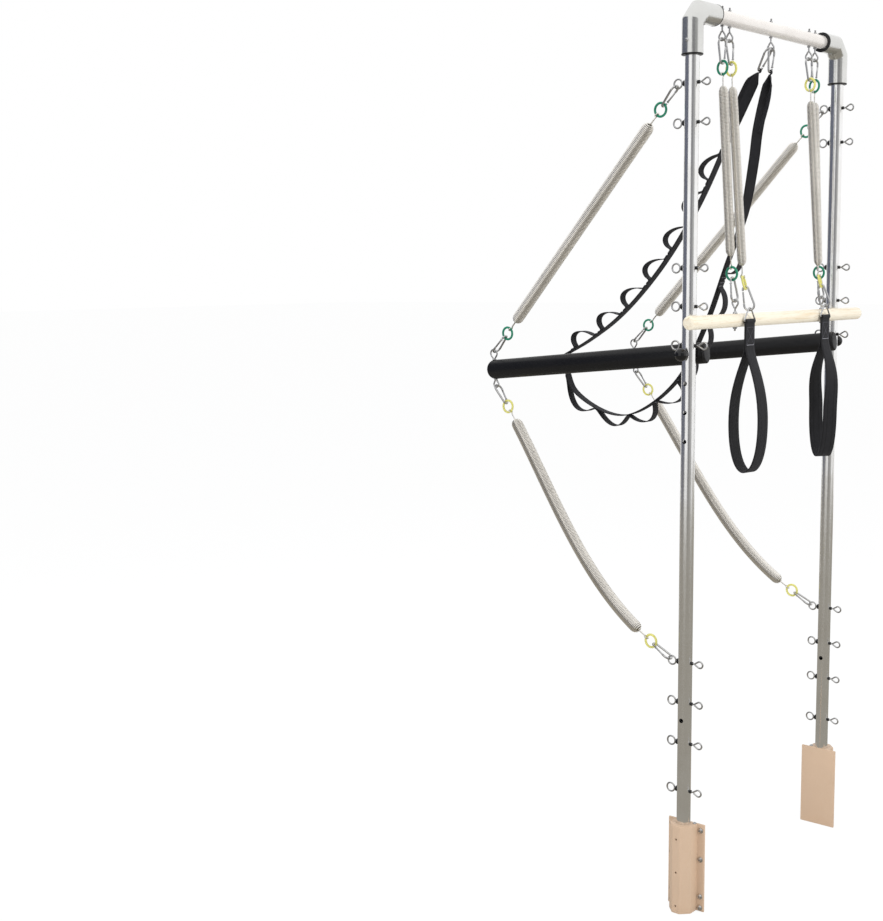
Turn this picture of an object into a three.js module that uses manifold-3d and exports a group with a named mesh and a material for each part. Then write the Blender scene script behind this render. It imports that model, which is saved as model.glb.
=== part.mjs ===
// Tower unit for a pilates bench: two posts and a crossbar with sprung arms, a push-through bar,
// a roll-down bar, two foot loops and a strap of sewn hand loops.
// Millimetres. X runs from post to post, Y along the bench, Z up from the feet of the brackets.
import * as THREE from "three";
import { mergeVertices } from "three/addons/utils/BufferGeometryUtils.js";
import Module from "manifold-3d";

const wasm = await Module();
wasm.setup();

// Fits
const CLEARANCE = 0.3;
const OVERRUN = 4;
const WELD_DEPTH = 1;

// Frame
const POST_SPACING = 700;
const TUBE_DIAMETER = 32;
const TUBE_WALL = 2;
const CROSSBAR_HEIGHT = 2040;
const ELBOW_DIAMETER = 47;
const ELBOW_MITRE = 24;
const ELBOW_DROP = 92;
const ELBOW_REACH = 90;
const SOCKET_STOP = 12;
const BUSH_LENGTH = 14;
const BUSH_WALL = 4.9;

// Brackets that clamp the posts to the bench
const BRACKET_HEIGHT = 211;
const BRACKET_FRONT = 32;
const BRACKET_BACK = 18;
const BRACKET_NOSE_WIDTH = 20;
const BRACKET_BODY_WIDTH = 58;
const BRACKET_CHAMFER = 20;
const FLANGE_WIDTH = 96;
const FLANGE_THICKNESS = 5;
const FLANGE_HOLE = 5.5;
const FLANGE_HOLE_SPREAD = 76;
const FLANGE_HOLE_SHARES = [0.043, 0.171, 0.597, 0.929];
const GRUB_HOLE = 5;
const GRUB_HOLE_SHARES = [0.085, 0.469, 0.848];

// Eye bolts through the posts
const EYE_LEVEL_SHARES = [0.925, 0.8834, 0.729, 0.6875, 0.645, 0.2904, 0.2438, 0.1969, 0.1416];
const EYE_WIRE = 4;
const FRONT_EYE_DIAMETER = 24;
const FRONT_EYE_OFFSET = 34.8;
const REAR_EYE_DIAMETER = 19;
const REAR_EYE_OFFSET = 38;
const EYE_NECK = 6;
const SHANK = 4.5;
const NUT_WIDTH = 9.2;
const NUT_HEIGHT = 3.5;
const WASHER_HEIGHT = 1.6;

// Hooks under the crossbar
const HOOK_DROP = 42;
const HOOK_SPACING = 32;
const INNER_HOOK = 192;
const HOOK_DIAMETER = 20;

// Push-through bar, its pivots and its pull pins
const PIVOT_HEIGHT = 1297;
const PIN_PITCH = 65;
const PIN_STEPS = 4;
const LOW_PIN_HEIGHT = 458;
const BAR_LENGTH = 583;
const BAR_SLOPE = 5.46;
const BAR_HEIGHT = 48;
const BAR_DEPTH = 30;
const BAR_WALL = 2;
const BAR_GAP = 2.5;
const BAR_TAIL = 27;
const PLUG_CAP = 7;
const PLUG_DEPTH = 12;
const PLUG_ROUND = 4;
const PIN_DIAMETER = 10;
const KNOB_DIAMETER = 29;
const KNOB_OFFSET = 33;
const COLLAR_DIAMETER = 16;
const UPPER_CORNER_EYE = 24;
const LOWER_CORNER_EYE = 19;

// Snap links and coloured rings
const LINK_LENGTH = 60;
const LINK_WIDTH = 28;
const LINK_TIP_WIDTH = 18;
const LINK_WIRE = 5;
const LINK_PLAY = 0.5;
const RING_DIAMETER = 35;
const RING_WIRE = 5.5;

// Springs
const ARM_SPRING_DIAMETER = 29;
const HUNG_SPRING_DIAMETER = 22;
const ARM_SPRING_WIRE = 3.6;
const HUNG_SPRING_WIRE = 3;
const SPRING_CURLS = 6;
const SPRING_TAIL = 25;
const LOWER_SAG_SHARES = [0.111, 0.031];
const GREEN_SAG_SHARES = [0.026, 0.015];
const YELLOW_SAG_SHARES = [0.056, 0.005];
const LIMP_CURVE_SHARE = 1 / 3;

// Roll-down bar
const DOWEL_LENGTH = 840;
const DOWEL_DIAMETER = 31;
const DOWEL_HEIGHT = 1368;
const DOWEL_SHIFT = -11;
const DOWEL_EYE_SPACING = 430;
const DOWEL_ROUND = 8;
const DOWEL_EYE_OFFSET = 40;
const DOWEL_EYE_DIAMETER = 19;
const EYE_COLLAR_HEIGHT = 6;
const EYE_COLLAR_DIAMETER = 11;
const EYE_COLLAR_TOP = 5.4;

// Foot loops and the triangles they hang from
const LOOP_OFFSET = 55;
const RIGHT_LOOP = 178;
const LEFT_LOOP = -200;
const LOOP_STEM_TURN = -5;
const LOOP_TURNS = [-10, -40];
const LOOP_WEBBING = 36;
const LOOP_EYE_SLACK = 0.3;
const LOOP_THICKNESS = 2.6;
const LOOP_LENGTH = 352;
const LOOP_WIDTH = 87;
const LOOP_STEM = 57;
const LOOP_BELLY = 232;
const TRIANGLE_WIDTH = 46;
const TRIANGLE_HEIGHT = 34;
const TRIANGLE_WIRE = 4;
const TRIANGLE_TOP_ROUND = 8;
const TRIANGLE_CORNER_ROUND = 4.5;
const TRIANGLE_HEIGHT_ABOVE_BENCH = 1366;

// Strap with sewn hand loops, hung from the middle hook and carried round the push-through bar.
// Its runs are shares of the way from the hook to the bar, along the bench and down.
const STRAP_WIDTH = 25;
const STRAP_THICKNESS = 2.4;
const STRAP_TIP_WIDTH = 5;
const STRAP_EYE_SLACK = 0.8;
const STRAP_TAPER = 60;
const STRAP_TWIST = 62;
const STRAP_TWIST_LENGTHS = [190, 400];
const STRAP_STEP = 57;
const STRAP_SLACK = 0.6;
const FRONT_RUN_SHARES = [
  [0.145, 0.201], [0.324, 0.469], [0.505, 0.668], [0.712, 0.829], [0.884, 0.918],
];
const REAR_RUN_SHARES = [
  [0.973, 1.092], [0.829, 1.157], [0.693, 1.173], [0.56, 1.133], [0.408, 1.033],
  [0.283, 0.859], [0.19, 0.674], [0.109, 0.508], [0.067, 0.338], [0.052, 0.246],
];
const WRAP_ANGLES = [115, 240];
const WRAP_STEPS = 5;
const HAND_LOOP_STEPS = 5;
const HAND_LOOP_SPAN_SHARE = 0.714;
const FRONT_LOOP_COUNT = 7;
const FRONT_LOOPS_SHARES = [0.2285, 0.9897];
const REAR_LOOPS_SHARES = [
  [0.015, 0.115], [0.121, 0.203], [0.206, 0.276], [0.282, 0.351],
  [0.357, 0.418], [0.4275, 0.491], [0.506, 0.571], [0.601, 0.668],
];

// The two handles of each loop's curve, along and out from its chord, as shares of it. The last
// pair of the rear run is kept for all that follow.
const FRONT_LOOP_HANDLES = [[0.4, 0.62], [1.1, 0.78]];
const REAR_LOOPS_HANDLES = [
  [[0.3, 0.34], [0.76, 0.62]], [[0.3, 0.34], [0.76, 0.62]], [[0.2, 0.45], [0.85, 0.75]],
  [[0.35, 0.6], [1.1, 0.8]], [[0, 0.6], [0.8, 0.5]],
];
const STRAP_LINK_SPREAD = 5.8;
const STRAP_LINK_LEANS = [-29, -4];
const STRAP_LINK_FACING = 84;

// Facings of the hung links, in degrees round the hang from the X axis, and the faceting
const ARM_LINK_FACINGS = [90, 0, 0, 90];
const GREEN_LINK_FACINGS = [77, -14, -8, 82];
const YELLOW_LINK_FACINGS = [77, -14, 108, 14];
const TUBE_SIDES = 16;
const BORE_SIDES = 10;
const SMALL_SIDES = 6;
const WIRE_SIDES = 4;
const COIL_SIDES = 5;
const COIL_STEPS = 8;
const RING_STEPS = 8;
const EYE_STEPS = 5;
const CORNER_STEPS = 3;

const HALF_SPACING = POST_SPACING / 2;
const TUBE_RADIUS = TUBE_DIAMETER / 2;
const TUBE_BORE = TUBE_DIAMETER - 2 * TUBE_WALL;
const SEAT_RADIUS = TUBE_RADIUS + CLEARANCE;
const PIN_HOLE = PIN_DIAMETER + 2 * CLEARANCE;
const SHANK_HOLE = SHANK + 3 * CLEARANCE;
const HOOK_HEIGHT = CROSSBAR_HEIGHT - HOOK_DROP;
const ARM_OFFSET = HALF_SPACING - TUBE_RADIUS - BAR_GAP - BAR_DEPTH / 2;
const TAU = 2 * Math.PI;
const SIDES = [["right", 1], ["left", -1]];

const X = new THREE.Vector3(1, 0, 0);
const Z = new THREE.Vector3(0, 0, 1);
const vector = (x, y, z) => new THREE.Vector3(x, y, z);
const degrees = (angle) => THREE.MathUtils.degToRad(angle);

const finish = (color, roughness, metalness) => () =>
  new THREE.MeshStandardMaterial({ color, roughness, metalness });
const steel = finish(0xc9ccd0, 0.3, 0.95);
const springSteel = finish(0xb9bab4, 0.35, 0.9);
const castAlloy = finish(0xd6d6d2, 0.35, 0.7);
const blackPlastic = finish(0x17171a, 0.55, 0);
const blackPaint = finish(0x101012, 0.4, 0.3);
const sandPaint = finish(0xc9a184, 0.6, 0.1);
const beech = finish(0xeedcb8, 0.5, 0);
const webbing = finish(0x141417, 0.9, 0);

const tower = new THREE.Group();

function add(name, geometry, material, parent = tower) {
  const mesh = new THREE.Mesh(geometry, material());
  mesh.name = name;
  parent.add(mesh);
  return mesh;
}

// Solids

function toSolid(geometry) {
  const bare = geometry.index ? geometry.toNonIndexed() : geometry.clone();
  bare.deleteAttribute("normal");
  bare.deleteAttribute("uv");
  const merged = mergeVertices(bare);
  const vertProperties = merged.attributes.position.array;
  const triVerts = new Uint32Array(merged.index.array);
  return new wasm.Manifold(new wasm.Mesh({ numProp: 3, vertProperties, triVerts }));
}

function toGeometry(solid) {
  const mesh = solid.getMesh();
  const geometry = new THREE.BufferGeometry();
  geometry.setAttribute("position", new THREE.BufferAttribute(new Float32Array(mesh.vertProperties), 3));
  geometry.setIndex(new THREE.BufferAttribute(new Uint32Array(mesh.triVerts), 1));
  geometry.computeVertexNormals();
  return geometry;
}

const joined = (geometries) => geometries.map(toSolid).reduce((sum, solid) => sum.add(solid));

// The geometries joined into one body, less those that are cut from it.
function build(geometries, cuts = []) {
  const body = joined(geometries);
  return toGeometry(cuts.length ? body.subtract(joined(cuts)) : body);
}

// A skin through rings of as many points each, capped at its ends or closed on itself.
function skin(rings, closed) {
  const positions = [];
  const count = rings[0].length;
  const face = (...points) => points.forEach((point) => positions.push(point.x, point.y, point.z));
  const spans = closed ? rings.length : rings.length - 1;
  for (let i = 0; i < spans; i += 1) {
    const ring = rings[i];
    const next = rings[(i + 1) % rings.length];
    for (let j = 0; j < count; j += 1) {
      const k = (j + 1) % count;
      face(ring[j], ring[k], next[k]);
      face(ring[j], next[k], next[j]);
    }
  }
  if (!closed) {
    const first = rings[0];
    const last = rings[rings.length - 1];
    for (let j = 1; j < count - 1; j += 1) {
      face(first[0], first[j + 1], first[j]);
      face(last[0], last[j], last[j + 1]);
    }
  }
  const geometry = new THREE.BufferGeometry();
  geometry.setAttribute("position", new THREE.Float32BufferAttribute(positions, 3));
  geometry.computeVertexNormals();
  return geometry;
}

// Carries a section along a polyline with a mitre at each corner. The section's first axis starts out
// along `across`; a section can differ from point to point, and a twist turns it.
function sweep(points, section, across, { closed = false, twist = () => 0 } = {}) {
  const count = points.length;
  const sectionAt = Array.isArray(section) ? () => section : section;
  const step = (i) => points[(i + 1) % count].clone().sub(points[i]).normalize();
  const first = across.clone();
  const rings = points.map((point, i) => {
    const back = closed || i > 0 ? step((i + count - 1) % count) : step(0);
    const ahead = closed || i < count - 1 ? step(i) : back;
    const mitre = back.clone().add(ahead).normalize();
    first.addScaledVector(back, -first.dot(back)).normalize();
    const x = first.clone().applyAxisAngle(back, twist(i));
    const y = back.clone().cross(x);
    first.applyQuaternion(new THREE.Quaternion().setFromUnitVectors(back, ahead));
    return sectionAt(i).map(([u, v]) => {
      const offset = vector(0, 0, 0).addScaledVector(x, u).addScaledVector(y, v);
      offset.addScaledVector(back, -offset.dot(mitre) / back.dot(mitre));
      return offset.add(point);
    });
  });
  return skin(rings, closed);
}

function roundSection(diameter, sides) {
  const corner = (i) => (TAU * (i + 0.5)) / sides;
  return Array.from({ length: sides }, (_, i) => [
    (diameter / 2) * Math.cos(corner(i)), (diameter / 2) * Math.sin(corner(i)),
  ]);
}

// An oval, `height` along the second axis.
const ovalSection = (width, height) =>
  roundSection(1, TUBE_SIDES).map(([u, v]) => [width * u, height * v]);

const bandSection = (width, thickness) => [
  [width / 2, -thickness / 2], [width / 2, thickness / 2],
  [-width / 2, thickness / 2], [-width / 2, -thickness / 2],
];

// A rod between two points.
function rod(from, to, diameter, sides, endDiameter = diameter) {
  const axis = to.clone().sub(from);
  const geometry = new THREE.CylinderGeometry(endDiameter / 2, diameter / 2, axis.length(), sides);
  geometry.translate(0, axis.length() / 2, 0);
  geometry.applyQuaternion(new THREE.Quaternion().setFromUnitVectors(vector(0, 1, 0), axis.normalize()));
  return geometry.translate(from.x, from.y, from.z);
}

// A loop of wire in a plane, through points given along two axes of the plane from its centre.
function wireLoop(outline, centre, u, v, wire) {
  const points = outline.map(([a, b]) => centre.clone().addScaledVector(u, a).addScaledVector(v, b));
  return sweep(points, roundSection(wire, WIRE_SIDES), u.clone().cross(v), { closed: true });
}

const arcPoints = (x, y, radius, from, to, steps) =>
  Array.from({ length: steps + 1 }, (_, i) => {
    const angle = from + ((to - from) * i) / steps;
    return [x + radius * Math.cos(angle), y + radius * Math.sin(angle)];
  });

const circleOutline = (radius, steps) => arcPoints(0, 0, radius, 0, TAU, steps).slice(0, steps);

// An eye drawn in to a neck on its first axis, as a bent wire leaves it.
function teardropOutline(radius, neck) {
  const shoulder = Math.acos(radius / neck);
  return [[neck, 0], ...arcPoints(0, 0, radius, shoulder, TAU - shoulder, EYE_STEPS)];
}

// Eye bolts

const nut = (from, direction) =>
  rod(from, from.clone().addScaledVector(direction, NUT_HEIGHT), NUT_WIDTH, SMALL_SIDES);

// An eye whose neck points along `toShank`; the eye's plane holds that direction and `across`.
function teardropEye(centre, toShank, across, diameter, wire) {
  const radius = (diameter - wire) / 2;
  return wireLoop(teardropOutline(radius, radius + EYE_NECK), centre, toShank, across, wire);
}

// The bolt through a post at one level: a closed ring in front, a bent eye behind, both upright.
// Its shank is drawn as far as the tube's wall on each side.
function postBolt(height) {
  const forward = vector(0, -1, 0);
  const frontRadius = (FRONT_EYE_DIAMETER - EYE_WIRE) / 2;
  const rearNeck = (REAR_EYE_DIAMETER - EYE_WIRE) / 2 + EYE_NECK;
  const wall = TUBE_RADIUS - WELD_DEPTH;
  const at = (y) => vector(0, y, height);
  return [
    wireLoop(circleOutline(frontRadius, RING_STEPS), at(-FRONT_EYE_OFFSET), forward, Z, EYE_WIRE),
    teardropEye(at(REAR_EYE_OFFSET), forward, Z, REAR_EYE_DIAMETER, EYE_WIRE),
    rod(at(frontRadius - FRONT_EYE_OFFSET), at(-wall), SHANK, WIRE_SIDES),
    rod(at(wall), at(REAR_EYE_OFFSET - rearNeck), SHANK, WIRE_SIDES),
  ];
}

// A bolt with a bent eye at its lower end, held by a nut above and below what it goes through.
function hookBolt(seat) {
  const neck = (HOOK_DIAMETER - EYE_WIRE) / 2 + EYE_NECK;
  const top = seat + CLEARANCE;
  return build([
    teardropEye(vector(0, 0, -HOOK_DROP), Z, vector(0, 1, 0), HOOK_DIAMETER, EYE_WIRE),
    rod(vector(0, 0, neck - HOOK_DROP), vector(0, 0, top + NUT_HEIGHT + SHANK / 2), SHANK, WIRE_SIDES),
    nut(vector(0, 0, -top), vector(0, 0, -1)),
    nut(vector(0, 0, top), Z),
  ]);
}

// Frame

function postTube() {
  const base = vector(0, 0, 0);
  const top = vector(0, 0, CROSSBAR_HEIGHT - ELBOW_MITRE - SOCKET_STOP - CLEARANCE);
  const levels = EYE_LEVEL_SHARES.map((share) => share * CROSSBAR_HEIGHT);
  const pins = Array.from({ length: PIN_STEPS }, (_, i) => PIVOT_HEIGHT - i * PIN_PITCH);
  const reach = TUBE_RADIUS + OVERRUN;
  const bore = rod(vector(0, 0, -OVERRUN), vector(0, 0, top.z + OVERRUN), TUBE_BORE, TUBE_SIDES);
  const pinHoles = [...pins, LOW_PIN_HEIGHT].map((height) =>
    rod(vector(-reach, 0, height), vector(reach, 0, height), PIN_HOLE, BORE_SIDES));
  const tube = joined([rod(base, top, TUBE_DIAMETER, TUBE_SIDES)]).subtract(joined([bore, ...pinHoles]));
  return toGeometry(tube.add(joined(levels.flatMap(postBolt))));
}

// The cast elbow: three straight lengths mitred together, bored and stepped for its tubes and bushes.
function elbow(side) {
  const corner = ELBOW_MITRE;
  const path = [
    vector(0, 0, -ELBOW_DROP), vector(0, 0, -corner),
    vector(-side * corner, 0, 0), vector(-side * ELBOW_REACH, 0, 0),
  ];
  const mouths = [[path[0], Z, ELBOW_DROP], [path[3], vector(side, 0, 0), ELBOW_REACH]];
  const cuts = mouths.flatMap(([mouth, inward, depth]) => {
    const outside = mouth.clone().addScaledVector(inward, -OVERRUN);
    const stop = mouth.clone().addScaledVector(inward, depth - corner - SOCKET_STOP);
    const step = mouth.clone().addScaledVector(inward, BUSH_LENGTH);
    return [
      rod(outside, stop, 2 * SEAT_RADIUS, TUBE_SIDES),
      rod(outside, step, 2 * (SEAT_RADIUS + BUSH_WALL + CLEARANCE), TUBE_SIDES),
    ];
  });
  return build([sweep(path, roundSection(ELBOW_DIAMETER, TUBE_SIDES), vector(0, 1, 0))], cuts);
}

function bush() {
  const end = vector(0, 0, BUSH_LENGTH - CLEARANCE);
  const bore = rod(vector(0, 0, -OVERRUN), vector(0, 0, BUSH_LENGTH + OVERRUN), 2 * SEAT_RADIUS, TUBE_SIDES);
  return build([rod(vector(0, 0, 0), end, 2 * (SEAT_RADIUS + BUSH_WALL), TUBE_SIDES)], [bore]);
}

function crossbarTube() {
  const half = HALF_SPACING - ELBOW_MITRE - SOCKET_STOP - CLEARANCE;
  const end = half + OVERRUN;
  const bore = rod(vector(-end, 0, 0), vector(end, 0, 0), TUBE_BORE, TUBE_SIDES);
  const reach = TUBE_RADIUS + OVERRUN;
  const holes = HOOKS.map(([, x]) => rod(vector(x, 0, -reach), vector(x, 0, reach), SHANK_HOLE, SMALL_SIDES));
  return build([rod(vector(-half, 0, 0), vector(half, 0, 0), TUBE_DIAMETER, TUBE_SIDES)], [bore, ...holes]);
}

// A hat section round the post's bore, flanged at the back, with screw and grub holes.
function bracket() {
  const nose = BRACKET_NOSE_WIDTH / 2;
  const body = BRACKET_BODY_WIDTH / 2;
  const flange = FLANGE_WIDTH / 2;
  const shoulder = FLANGE_THICKNESS - BRACKET_BACK;
  const half = [
    [BRACKET_FRONT, nose], [BRACKET_FRONT - BRACKET_CHAMFER, body], [shoulder, body],
    [shoulder, flange], [-BRACKET_BACK, flange],
  ];
  const mirrored = half.map(([x, y]) => [x, -y]).reverse();
  const outline = new THREE.Shape([...half, ...mirrored].map(([x, y]) => new THREE.Vector2(x, y)));
  const block = new THREE.ExtrudeGeometry(outline, { depth: BRACKET_HEIGHT, bevelEnabled: false });
  const bore = rod(vector(0, 0, -OVERRUN), vector(0, 0, BRACKET_HEIGHT + OVERRUN), 2 * SEAT_RADIUS, TUBE_SIDES);
  const screws = FLANGE_HOLE_SHARES.flatMap((share) => SIDES.map(([, sign]) => {
    const y = (sign * FLANGE_HOLE_SPREAD) / 2;
    const z = share * BRACKET_HEIGHT;
    return rod(vector(-BRACKET_BACK - OVERRUN, y, z), vector(shoulder + OVERRUN, y, z), FLANGE_HOLE, SMALL_SIDES);
  }));
  const grubs = GRUB_HOLE_SHARES.map((share) => {
    const z = share * BRACKET_HEIGHT;
    return rod(vector(0, 0, z), vector(BRACKET_FRONT + OVERRUN, 0, z), GRUB_HOLE, SMALL_SIDES);
  });
  return build([block], [bore, ...screws, ...grubs]);
}

const OUTER_HOOK = INNER_HOOK + HOOK_SPACING;
const HOOKS = [
  ["hook_outer_right", OUTER_HOOK], ["hook_inner_right", INNER_HOOK], ["hook_middle", 0],
  ["hook_inner_left", -INNER_HOOK], ["hook_outer_left", -OUTER_HOOK],
];

function addFrame() {
  add("crossbar", crossbarTube(), steel).position.z = CROSSBAR_HEIGHT;
  SIDES.forEach(([name, side]) => {
    const corner = new THREE.Group();
    corner.position.set(side * HALF_SPACING, 0, 0);
    tower.add(corner);
    add(`post_${name}`, postTube(), steel, corner);
    add(`elbow_${name}`, elbow(side), castAlloy, corner).position.z = CROSSBAR_HEIGHT;
    add(`post_bush_${name}`, bush(), blackPlastic, corner).position.z = CROSSBAR_HEIGHT - ELBOW_DROP;
    const crossBush = add(`crossbar_bush_${name}`, bush(), blackPlastic, corner);
    crossBush.position.set(-side * ELBOW_REACH, 0, CROSSBAR_HEIGHT);
    crossBush.rotation.y = (side * Math.PI) / 2;
    add(`bracket_${name}`, bracket(), sandPaint, corner).rotation.z = side > 0 ? 0 : Math.PI;
  });
  HOOKS.forEach(([name, x]) => {
    add(name, hookBolt(TUBE_RADIUS), steel).position.set(x, 0, CROSSBAR_HEIGHT);
  });
}

// Push-through bar, in a frame that lies along its arms from the pivots

const pushThrough = new THREE.Group();
pushThrough.position.z = PIVOT_HEIGHT;
pushThrough.rotation.x = degrees(BAR_SLOPE);
tower.add(pushThrough);
pushThrough.updateMatrixWorld(true);

function uBar() {
  const tail = BAR_TAIL - PLUG_CAP - CLEARANCE;
  const route = (end) => [
    vector(ARM_OFFSET, end, 0), vector(ARM_OFFSET, -BAR_LENGTH, 0),
    vector(-ARM_OFFSET, -BAR_LENGTH, 0), vector(-ARM_OFFSET, end, 0),
  ];
  const hollow = ovalSection(BAR_DEPTH - 2 * BAR_WALL, BAR_HEIGHT - 2 * BAR_WALL);
  const outer = sweep(route(tail), ovalSection(BAR_DEPTH, BAR_HEIGHT), X);
  const inner = sweep(route(tail + OVERRUN), hollow, X);
  const reach = BAR_HEIGHT / 2 + OVERRUN;
  const bores = SIDES.flatMap(([, side]) => {
    const arm = side * ARM_OFFSET;
    return [
      rod(vector(arm - reach, 0, 0), vector(arm + reach, 0, 0), PIN_HOLE, BORE_SIDES),
      rod(vector(arm, -BAR_LENGTH, -reach), vector(arm, -BAR_LENGTH, reach), SHANK_HOLE, SMALL_SIDES),
    ];
  });
  return build([outer], [inner, ...bores]);
}

// A plug for an arm's end: a cap with a rounded rim and a stem that fills the tube.
function endPlug() {
  const rim = PLUG_CAP - PLUG_ROUND;
  const slope = PLUG_ROUND * (1 - Math.SQRT1_2);
  const stemWidth = BAR_DEPTH - 2 * (BAR_WALL + CLEARANCE);
  const stemHeight = BAR_HEIGHT - 2 * (BAR_WALL + CLEARANCE);
  const inset = [0, 0, slope, PLUG_ROUND];
  const stations = [0, rim, PLUG_CAP - slope, PLUG_CAP];
  const cap = sweep(stations.map((y) => vector(0, y, 0)),
    (i) => ovalSection(BAR_DEPTH - 2 * inset[i], BAR_HEIGHT - 2 * inset[i]), X);
  const stem = sweep([vector(0, -PLUG_DEPTH, 0), vector(0, WELD_DEPTH, 0)], ovalSection(stemWidth, stemHeight), X);
  return build([cap, stem]);
}

// The eyes above (1) and below (-1) a corner of the bar, and how far each lies from its middle.
const cornerDiameter = (up) => (up > 0 ? UPPER_CORNER_EYE : LOWER_CORNER_EYE);
const cornerOffset = (up) => up * (BAR_HEIGHT / 2 + (cornerDiameter(up) - EYE_WIRE) / 2 + EYE_NECK);

// The bolt through a corner of the bar, with an eye and a washer above and below.
function cornerBolt() {
  const wall = BAR_HEIGHT / 2;
  const seat = wall + CLEARANCE;
  const across = vector(0, 1, 0);
  const ends = [1, -1].flatMap((up) => [
    teardropEye(vector(0, 0, cornerOffset(up)), vector(0, 0, -up), across, cornerDiameter(up), EYE_WIRE),
    rod(vector(0, 0, up * seat), vector(0, 0, up * (seat + WASHER_HEIGHT)), NUT_WIDTH, SMALL_SIDES),
  ]);
  return build([rod(vector(0, 0, -wall), vector(0, 0, wall), SHANK, WIRE_SIDES), ...ends]);
}

const cornerEye = (side, up) =>
  pushThrough.localToWorld(vector(side * ARM_OFFSET, -BAR_LENGTH, cornerOffset(up)));

// A pull pin: a ball knob on a pin that goes through the post into the middle of the arm.
function pullPin(side) {
  const knob = new THREE.SphereGeometry(KNOB_DIAMETER / 2, BORE_SIDES, SMALL_SIDES);
  const tip = ARM_OFFSET - HALF_SPACING - KNOB_OFFSET;
  return build([knob, rod(vector(0, 0, 0), vector(side * tip, 0, 0), PIN_DIAMETER, BORE_SIDES)]);
}

// The guide on the post's outer side, hollowed to the post and bored for the pin.
function pinCollar(side) {
  const face = KNOB_OFFSET - KNOB_DIAMETER / 2 - CLEARANCE;
  const reach = TUBE_RADIUS + KNOB_OFFSET;
  return build(
    [rod(vector(0, 0, 0), vector(side * face, 0, 0), COLLAR_DIAMETER, TUBE_SIDES)],
    [
      rod(vector(0, 0, -reach), vector(0, 0, reach), 2 * SEAT_RADIUS, TUBE_SIDES),
      rod(vector(0, 0, 0), vector(side * reach, 0, 0), PIN_HOLE, BORE_SIDES),
    ],
  );
}

function addPushThroughBar() {
  add("push_through_bar", uBar(), blackPaint, pushThrough);
  SIDES.forEach(([name, side]) => {
    const plug = add(`end_plug_${name}`, endPlug(), blackPlastic, pushThrough);
    plug.position.set(side * ARM_OFFSET, BAR_TAIL - PLUG_CAP, 0);
    const bolt = add(`corner_eye_bolt_${name}`, cornerBolt(), steel, pushThrough);
    bolt.position.set(side * ARM_OFFSET, -BAR_LENGTH, 0);
    const pin = add(`pull_pin_${name}`, pullPin(side), blackPlastic);
    pin.position.set(side * (HALF_SPACING + KNOB_OFFSET), 0, PIVOT_HEIGHT);
    const collar = add(`pin_collar_${name}`, pinCollar(side), blackPlastic);
    collar.position.set(side * HALF_SPACING, 0, PIVOT_HEIGHT);
  });
}

// Snap links, rings and springs, hung one inside the next

// How far inside a link's wire the next link's wire lies, middle to middle.
const nest = (wire, nextWire) => (wire + nextWire) / 2 + LINK_PLAY;

// A pear-shaped snap link in the XY plane: its broad end at the origin, its narrow end down the Y axis.
function snapLink() {
  const broad = (LINK_WIDTH - LINK_WIRE) / 2;
  const narrow = (LINK_TIP_WIDTH - LINK_WIRE) / 2;
  const reach = LINK_LENGTH - LINK_WIRE;
  const tilt = Math.asin((broad - narrow) / (reach - broad - narrow));
  const outline = [
    ...arcPoints(0, -broad, broad, -tilt, Math.PI + tilt, EYE_STEPS),
    ...arcPoints(0, narrow - reach, narrow, Math.PI + tilt, TAU - tilt, EYE_STEPS - 1),
  ];
  return wireLoop(outline, vector(0, 0, 0), X, vector(0, 1, 0), LINK_WIRE);
}

// The direction that a link's plane faces: across the hang, turned round it from the X axis.
function facing(hang, angle) {
  const up = hang.clone().multiplyScalar(Math.sign(hang.z));
  const level = X.clone().addScaledVector(up, -X.dot(up)).normalize();
  return level.applyAxisAngle(up, degrees(angle));
}

function placeLink(name, start, hang, angle) {
  const link = add(name, snapLink(), steel);
  const normal = facing(hang, angle);
  const up = hang.clone().negate();
  const basis = new THREE.Matrix4().makeBasis(up.clone().cross(normal), up, normal);
  link.quaternion.setFromRotationMatrix(basis);
  link.position.copy(start);
  return start.clone().addScaledVector(hang, LINK_LENGTH - LINK_WIRE);
}

// One end of a spring: a snap link in an eye, then a coloured ring. Returns the ring and the wire's start.
// The link bears on the eye's wire where the hang crosses it, or at the eye's crown if it has one.
function hangEnd(name, eye, hang, linkAngle, ringAngle) {
  const { crown = hang } = eye;
  const seat = eye.centre.clone().addScaledVector(crown, eye.radius);
  seat.addScaledVector(hang, -nest(eye.wire, LINK_WIRE));
  const tip = placeLink(name, seat, hang, linkAngle);
  const radius = (RING_DIAMETER - RING_WIRE) / 2;
  const centre = tip.addScaledVector(hang, radius - nest(LINK_WIRE, RING_WIRE));
  const level = facing(hang, ringAngle).cross(hang);
  const ring = wireLoop(circleOutline(radius, RING_STEPS), centre, hang, level, RING_WIRE);
  return { ring, start: centre.clone().addScaledVector(hang, radius) };
}

// The wire of a spring along a route: straight ends, then curls that grow to full size and shrink again.
function coilPoints(route, diameter) {
  const length = route.getLength();
  const steps = SPRING_CURLS * COIL_STEPS;
  const body = length - 2 * SPRING_TAIL;
  const coil = Array.from({ length: steps + 1 }, (_, i) => {
    const share = (SPRING_TAIL + (body * i) / steps) / length;
    const along = route.getTangentAt(share);
    const level = X.clone().addScaledVector(along, -X.dot(along)).normalize();
    const growth = Math.min(1, Math.min(i, steps - i) / COIL_STEPS);
    const radius = (diameter / 2) * Math.sin((growth * Math.PI) / 2);
    const outward = level.applyAxisAngle(along, (TAU * i) / COIL_STEPS);
    return route.getPointAt(share).addScaledVector(outward, radius);
  });
  return [route.getPointAt(0), ...coil, route.getPointAt(1)];
}

// The least gap from a spring's wire to itself, between points at least half a curl apart.
function leastGap(points, wire) {
  let least = Infinity;
  for (let i = 0; i < points.length; i += 1) {
    for (let j = i + COIL_STEPS / 2; j < points.length; j += 1) {
      least = Math.min(least, points[i].distanceTo(points[j]) - wire);
    }
  }
  return least;
}

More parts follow.
